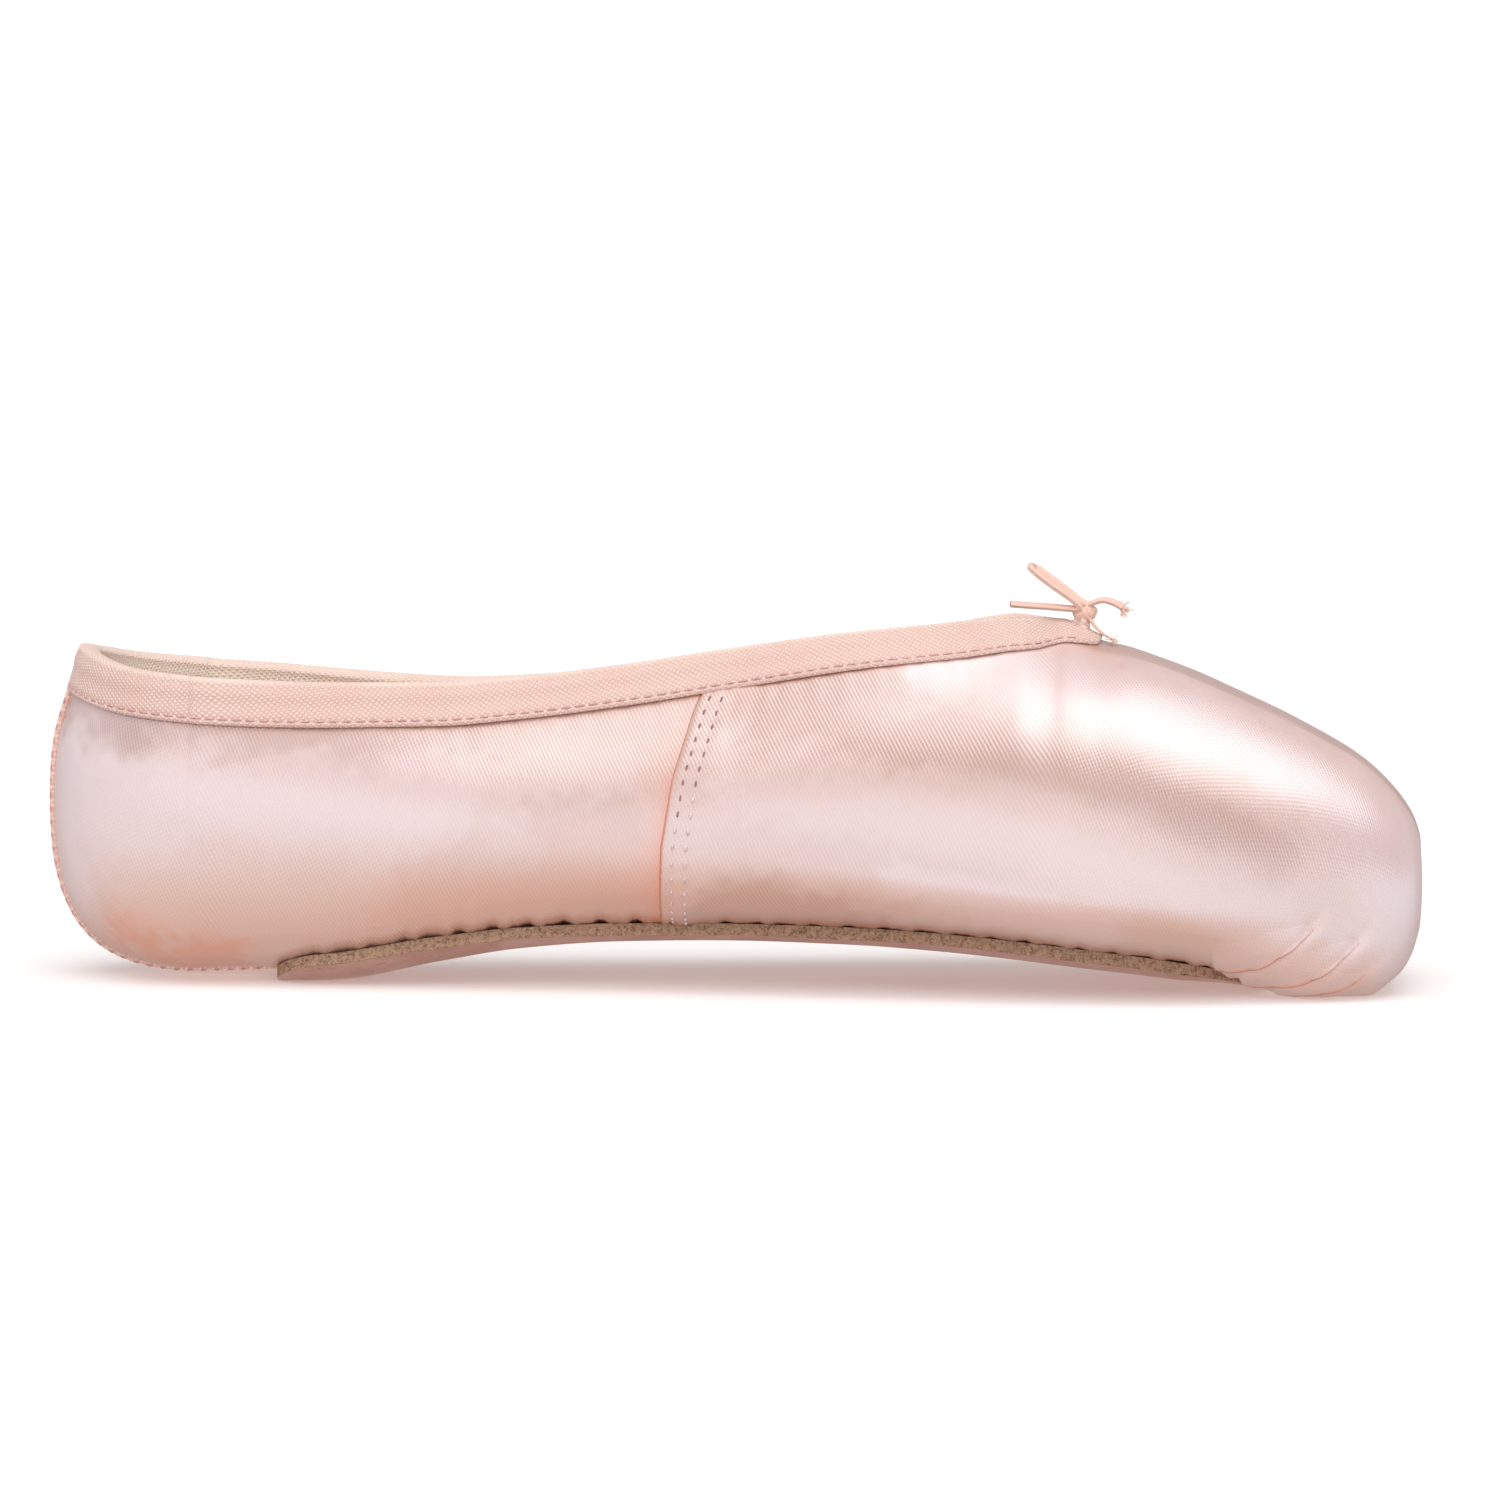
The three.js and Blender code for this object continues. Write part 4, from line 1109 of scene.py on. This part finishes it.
rng = np.random.default_rng(41)
fibres = []
for start, way, count, reach in (
    (np.array([67.2, -1.5, 66.5]), np.array([0.7, -0.1, -0.55]), 22, 2.3),
    (np.array([65.2, -2.4, 61.1]), np.array([0.85, -0.15, -0.2]), 10, 1.6),
):
    for _ in range(count):
        a = start + rng.normal(0, 0.28, 3)
        b = a + unit(way + rng.normal(0, 0.42, 3)) * reach * rng.uniform(0.5, 1.0)
        fibres.append(((a, b), unit(rng.normal(0, 1, 3))))
fray = thread_piece("drawstring_fray", fibres, 0.11, "drawstring_cotton")

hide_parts("drawstring_loop", "drawstring_end_front", "drawstring_end_back")
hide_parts("drawstring_knot")

# ---- materials


class Tree:
    """A node tree, built from short calls. A value is a number, a colour or another node's socket."""

    def __init__(self, owner):
        owner.use_nodes = True
        self.nodes, self.links = owner.node_tree.nodes, owner.node_tree.links

    def feed(self, node, values):
        for socket, value in values.items():
            if isinstance(value, bpy.types.NodeSocket):
                self.links.new(value, node.inputs[socket])
            else:
                node.inputs[socket].default_value = value
        return node

    def add(self, kind, values=None, **settings):
        node = self.nodes.new("ShaderNode" + kind)
        for key, value in settings.items():
            setattr(node, key, value)
        return self.feed(node, values or {})

    def maths(self, kind, a, b, c=0.0):
        return self.add("Math", {0: a, 1: b, 2: c}, operation=kind).outputs[0]

    def span(self, value, low, high, to_low=0.0, to_high=1.0, kind="SMOOTHSTEP"):
        """The value spread from low..high over to_low..to_high."""
        values = {"Value": value, "From Min": low, "From Max": high, "To Min": to_low, "To Max": to_high}
        return self.add("MapRange", values, interpolation_type=kind).outputs["Result"]

    def mix(self, share, a, b):
        node = self.add("Mix", data_type="RGBA")
        return self.feed(node, {0: share, 6: a, 7: b}).outputs[2]


class Paint(Tree):
    """A material."""

    def __init__(self, name, **constants):
        self.material = bpy.data.materials.new(name)
        super().__init__(self.material)
        self.shader = self.nodes["Principled BSDF"]
        self.feed(self.shader, {socket.replace("_", " "): value for socket, value in constants.items()})

    def cloth(self):
        return self.add("UVMap", uv_map="cloth").outputs["UV"]

    def place(self):
        """The place on the shoe, in metres."""
        return self.add("TexCoord").outputs["Object"]

    def moved(self, vector, turn=0.0, scale=(1, 1, 1)):
        values = {"Vector": vector, "Rotation": (0, 0, turn), "Scale": scale}
        return self.add("Mapping", values).outputs["Vector"]

    def bands(self, vector, pitch):
        """Slightly uneven ribs a pitch apart, across the vector's X."""
        scale = math.tau / 20 / pitch
        values = {"Vector": vector, "Scale": scale, "Distortion": 0.5, "Detail Scale": 0.8}
        return self.add("TexWave", values, wave_type="BANDS", bands_direction="X").outputs["Fac"]

    def noise(self, vector, scale, detail=3.0, rough=0.55):
        values = {"Vector": vector, "Scale": scale, "Detail": detail, "Roughness": rough}
        return self.add("TexNoise", values).outputs["Fac"]

    def bump(self, height, distance, strength):
        values = {"Height": height, "Distance": distance * 0.001, "Strength": strength}
        return self.add("Bump", values).outputs["Normal"]

    def field(self, name):
        return self.add("Attribute", attribute_name=name, attribute_type="GEOMETRY").outputs["Fac"]

    def finish(self, **values):
        self.feed(self.shader, {SOCKETS[name]: value for name, value in values.items()})
        return self.material


SOCKETS = {"colour": "Base Color", "rough": "Roughness", "normal": "Normal"}


def rgb(r, g, b):
    """A colour given as it looks on a screen, 0 to 255."""
    linear = [v / 255 / 12.92 if v <= 10 else ((v / 255 + 0.055) / 1.055) ** 2.4 for v in (r, g, b)]
    return (*linear, 1.0)


def satin_material():
    paint = Paint("satin", IOR=3.2, Specular_IOR_Level=0.82, Anisotropic=0.35)
    cloth = paint.cloth()
    place = paint.place()
    yarn = paint.bands(paint.moved(cloth, turn=math.radians(22)), 0.6)
    cross = paint.bands(paint.moved(cloth, turn=math.radians(-62)), 0.7)
    slub = paint.noise(paint.moved(cloth, scale=(0.9, 3.2, 1)), 1.0, 3)
    cloud = paint.noise(place, 34, 3, 0.5)
    height = paint.maths("MULTIPLY_ADD", yarn, 1.0, paint.maths("MULTIPLY", cross, 0.45))
    height = paint.maths("ADD", height, paint.maths("MULTIPLY", slub, 0.5))
    normal = paint.bump(height, 0.05, 0.5)
    colour = paint.mix(paint.span(cloud, 0.35, 0.7), rgb(229, 183, 169), rgb(224, 175, 161))
    # Painted shade of dim reflections.
    colour = paint.mix(paint.field("shade"), colour, rgb(190, 126, 106))
    # Painted reflections and highlights.
    colour = paint.mix(paint.field("painted_reflection"), colour, rgb(240, 205, 203))
    colour = paint.mix(paint.maths("MULTIPLY", yarn, 0.34), colour, rgb(246, 222, 214))
    # A painted orange glow of bounced light.
    painted_glow = paint.maths("MULTIPLY", paint.field("painted_glow"), 0.8)
    colour = paint.mix(painted_glow, colour, rgb(240, 136, 88))
    # Painted shade in crevices.
    colour = paint.mix(paint.field("dark"), colour, rgb(104, 62, 46))
    rough = paint.span(slub, 0.3, 0.7, 0.31, 0.39)
    return paint.finish(colour=colour, rough=rough, normal=normal)


def weave_material(name, light, dark, pitch, turn, depth, rough):
    """A plain woven cotton: threads over and under one another at a pitch."""
    paint = Paint(name, Sheen_Weight=0.25, Sheen_Roughness=0.5)
    cloth = paint.cloth()
    warp = paint.bands(paint.moved(cloth, turn=turn), pitch)
    weft = paint.bands(paint.moved(cloth, turn=turn + math.pi / 2), pitch)
    cells = paint.maths("MULTIPLY", warp, weft)
    fuzz = paint.noise(cloth, 3.2, 4, 0.6)
    cloud = paint.noise(paint.place(), 60, 2, 0.5)
    normal = paint.bump(paint.maths("MULTIPLY_ADD", fuzz, 0.5, cells), depth, 0.8)
    colour = paint.mix(paint.span(cells, 0.02, 0.55), dark, light)
    # The binding's inside is painted lighter: painted light.
    colour = paint.mix(paint.field("inner"), colour, rgb(255, 240, 224))
    colour = paint.mix(paint.maths("MULTIPLY", paint.span(cloud, 0.4, 0.75), 0.4), colour, dark)
    rough = paint.span(fuzz, 0.3, 0.7, rough - 0.06, rough + 0.06)
    return paint.finish(colour=colour, rough=rough, normal=normal)


def sole_material():
    paint = Paint("sole_leather", IOR=1.45)
    place = paint.place()
    edge = paint.span(paint.field("edge"), 0.35, 0.65)
    grit = paint.noise(place, 2600, 4, 0.65)
    fleck = paint.noise(place, 1100, 3, 0.6)
    cloud = paint.noise(place, 90, 4, 0.6)
    grain = paint.noise(paint.moved(place, scale=(0.5, 1.6, 1.6)), 900, 4, 0.6)
    tan = paint.mix(paint.span(fleck, 0.36, 0.64), rgb(122, 88, 66), rgb(176, 140, 112))
    tan = paint.mix(paint.span(grit, 0.35, 0.7), tan, rgb(194, 160, 134))
    pink = paint.mix(paint.span(cloud, 0.35, 0.7), rgb(205, 165, 155), rgb(188, 142, 130))
    pink = paint.mix(paint.span(grain, 0.58, 0.72), pink, rgb(168, 122, 108))
    colour = paint.mix(edge, pink, tan)
    rough = paint.maths("MULTIPLY_ADD", edge, 0.38, 0.5)
    rough_cut = paint.maths("MULTIPLY", grit, edge)
    height = paint.maths("MULTIPLY_ADD", grain, 0.25, rough_cut)
    return paint.finish(colour=colour, rough=rough, normal=paint.bump(height, 0.25, 0.8))


def thread_material(name, colour, darker, rough):
    paint = Paint(name, Sheen_Weight=0.2)
    twist = paint.noise(paint.place(), 2400, 3, 0.6)
    mixed = paint.mix(paint.span(twist, 0.35, 0.65), colour, darker)
    return paint.finish(colour=mixed, rough=rough, normal=paint.bump(twist, 0.08, 0.7))


# Woven cottons: name, light and dark thread, pitch, turn, depth, roughness, and what wears it.
WEAVES = [
    ("cotton_tape", (246, 220, 210), (220, 182, 168), 0.72, 0.62, 0.2, 0.8, [binding, neck]),
    ("drawstring_cotton", (250, 224, 211), (236, 190, 168), 0.42, 0.8, 0.1, 0.8, [drawstring, knot, tail]),
    ("heel_tape_cotton", (252, 228, 216), (238, 200, 184), 0.66, 0.62, 0.1, 0.8, [heel_tape]),
    ("sock_cloth", (232, 206, 178), (206, 174, 142), 0.8, 0.2, 0.1, 0.85, [sock]),
    ("lining_cloth", (252, 228, 206), (240, 206, 180), 0.5, 0.0, 0.08, 0.85, [lining, *CAD_NODES]),
]
# Threads: name, light and dark fibre, roughness, and the piece.
THREADS = [
    ("seam_thread", (240, 224, 224), (206, 176, 180), 0.6, seam_thread),
    ("needle_marks", (142, 98, 104), (168, 124, 128), 0.8, seam_needle),
    ("tape_thread", (226, 182, 176), (200, 150, 148), 0.6, tape_thread),
    ("cord_fibre", (250, 228, 214), (238, 200, 180), 0.6, fray),
]
painted = [(satin_material(), [quarter, vamp, *pleats]), (sole_material(), [outsole])]
for name, light, dark, *weave, owners in WEAVES:
    painted.append((weave_material(name, rgb(*light), rgb(*dark), *weave), owners))
for name, light, dark, rough, owner in THREADS:
    painted.append((thread_material(name, rgb(*light), rgb(*dark), rough), [owner]))
for material, owners in painted:
    for owner in owners:
        owner.data.materials.clear()
        owner.data.materials.append(material)

# ---- floor and light

FLOOR = 30.0  # metres from the middle to each edge
floor_mesh = bpy.data.meshes.new("floor")
corners = [(-FLOOR, -FLOOR, 0), (FLOOR, -FLOOR, 0), (FLOOR, FLOOR, 0), (-FLOOR, FLOOR, 0)]
floor_mesh.from_pydata(corners, [], [(0, 1, 2, 3)])
floor = bpy.data.objects.new("floor", floor_mesh)
bpy.context.scene.collection.objects.link(floor)
glow = {"Emission_Color": rgb(255, 253, 253), "Emission_Strength": 0.16}
floor.data.materials.append(Paint("floor", IOR=1.3, **glow).finish(colour=rgb(250, 249, 248)))
floor.visible_glossy = False
floor.visible_diffuse = False

# The studio round the shoe, as rows of height (the sine of the elevation) and colour: a cool
# white panel in front, a dark gap above it, white overhead, and a warm dim table below.
FRONT_SKY = [
    (-1.0, (0.66, 0.45, 0.37)), (-0.60, (0.72, 0.55, 0.48)), (-0.30, (0.76, 0.72, 0.72)),
    (-0.05, (0.74, 0.78, 0.84)), (0.42, (0.74, 0.78, 0.84)), (0.62, (0.30, 0.26, 0.25)),
    (0.87, (0.32, 0.28, 0.27)), (0.98, (1.3, 1.28, 1.27)), (1.0, (1.7, 1.69, 1.68)),
]
BACK_SKY = [
    (-1.0, (0.45, 0.36, 0.33)), (0.0, (0.5, 0.46, 0.45)), (0.75, (0.5, 0.48, 0.47)),
    (0.93, (1.7, 1.7, 1.7)), (1.0, (2.3, 2.3, 2.3)),
]
TOE_TILT = 0.32  # the panels stand a little lower towards the toe

world = bpy.data.worlds.new("studio")
bpy.context.scene.world = world
sky = Tree(world)
parts = sky.add("SeparateXYZ", {0: sky.add("TexCoord").outputs["Generated"]}).outputs
tilted = sky.maths("MULTIPLY_ADD", sky.maths("MAXIMUM", parts["X"], 0.0), TOE_TILT, parts["Z"])
height = sky.span(tilted, -1, 1, kind="LINEAR")


def sky_ramp(stops):
    ramp = sky.add("ValToRGB", {"Fac": height})
    while len(ramp.color_ramp.elements) < len(stops):
        ramp.color_ramp.elements.new(0.5)
    for element, (rise, colour) in zip(ramp.color_ramp.elements, stops):
        element.position = (rise + 1) / 2
        element.color = (*colour, 1)
    return ramp.outputs["Color"]


front_to_back = sky.span(parts["Y"], 0.5, 0.95)
both = sky.mix(front_to_back, sky_ramp(FRONT_SKY), sky_ramp(BACK_SKY))
sky.feed(sky.nodes["Background"], {"Color": both, "Strength": 1.0})
bpy.context.scene.view_settings.view_transform = "Standard"

# Two wide soft lamps that light the cloth without showing in its gloss: elevation, turn, power.
LAMPS = [(58, -12, 1.35), (18, 8, 0.75)]
for number, (elevation, turn, power) in enumerate(LAMPS):
    lamp = bpy.data.objects.new(f"fill_{number}", bpy.data.lights.new(f"fill_{number}", "SUN"))
    lamp.data.energy = power
    lamp.data.angle = math.radians(60)
    lamp.rotation_euler = (math.radians(90 - elevation), 0, math.radians(turn))
    lamp.visible_glossy = False
    bpy.context.scene.collection.objects.link(lamp)
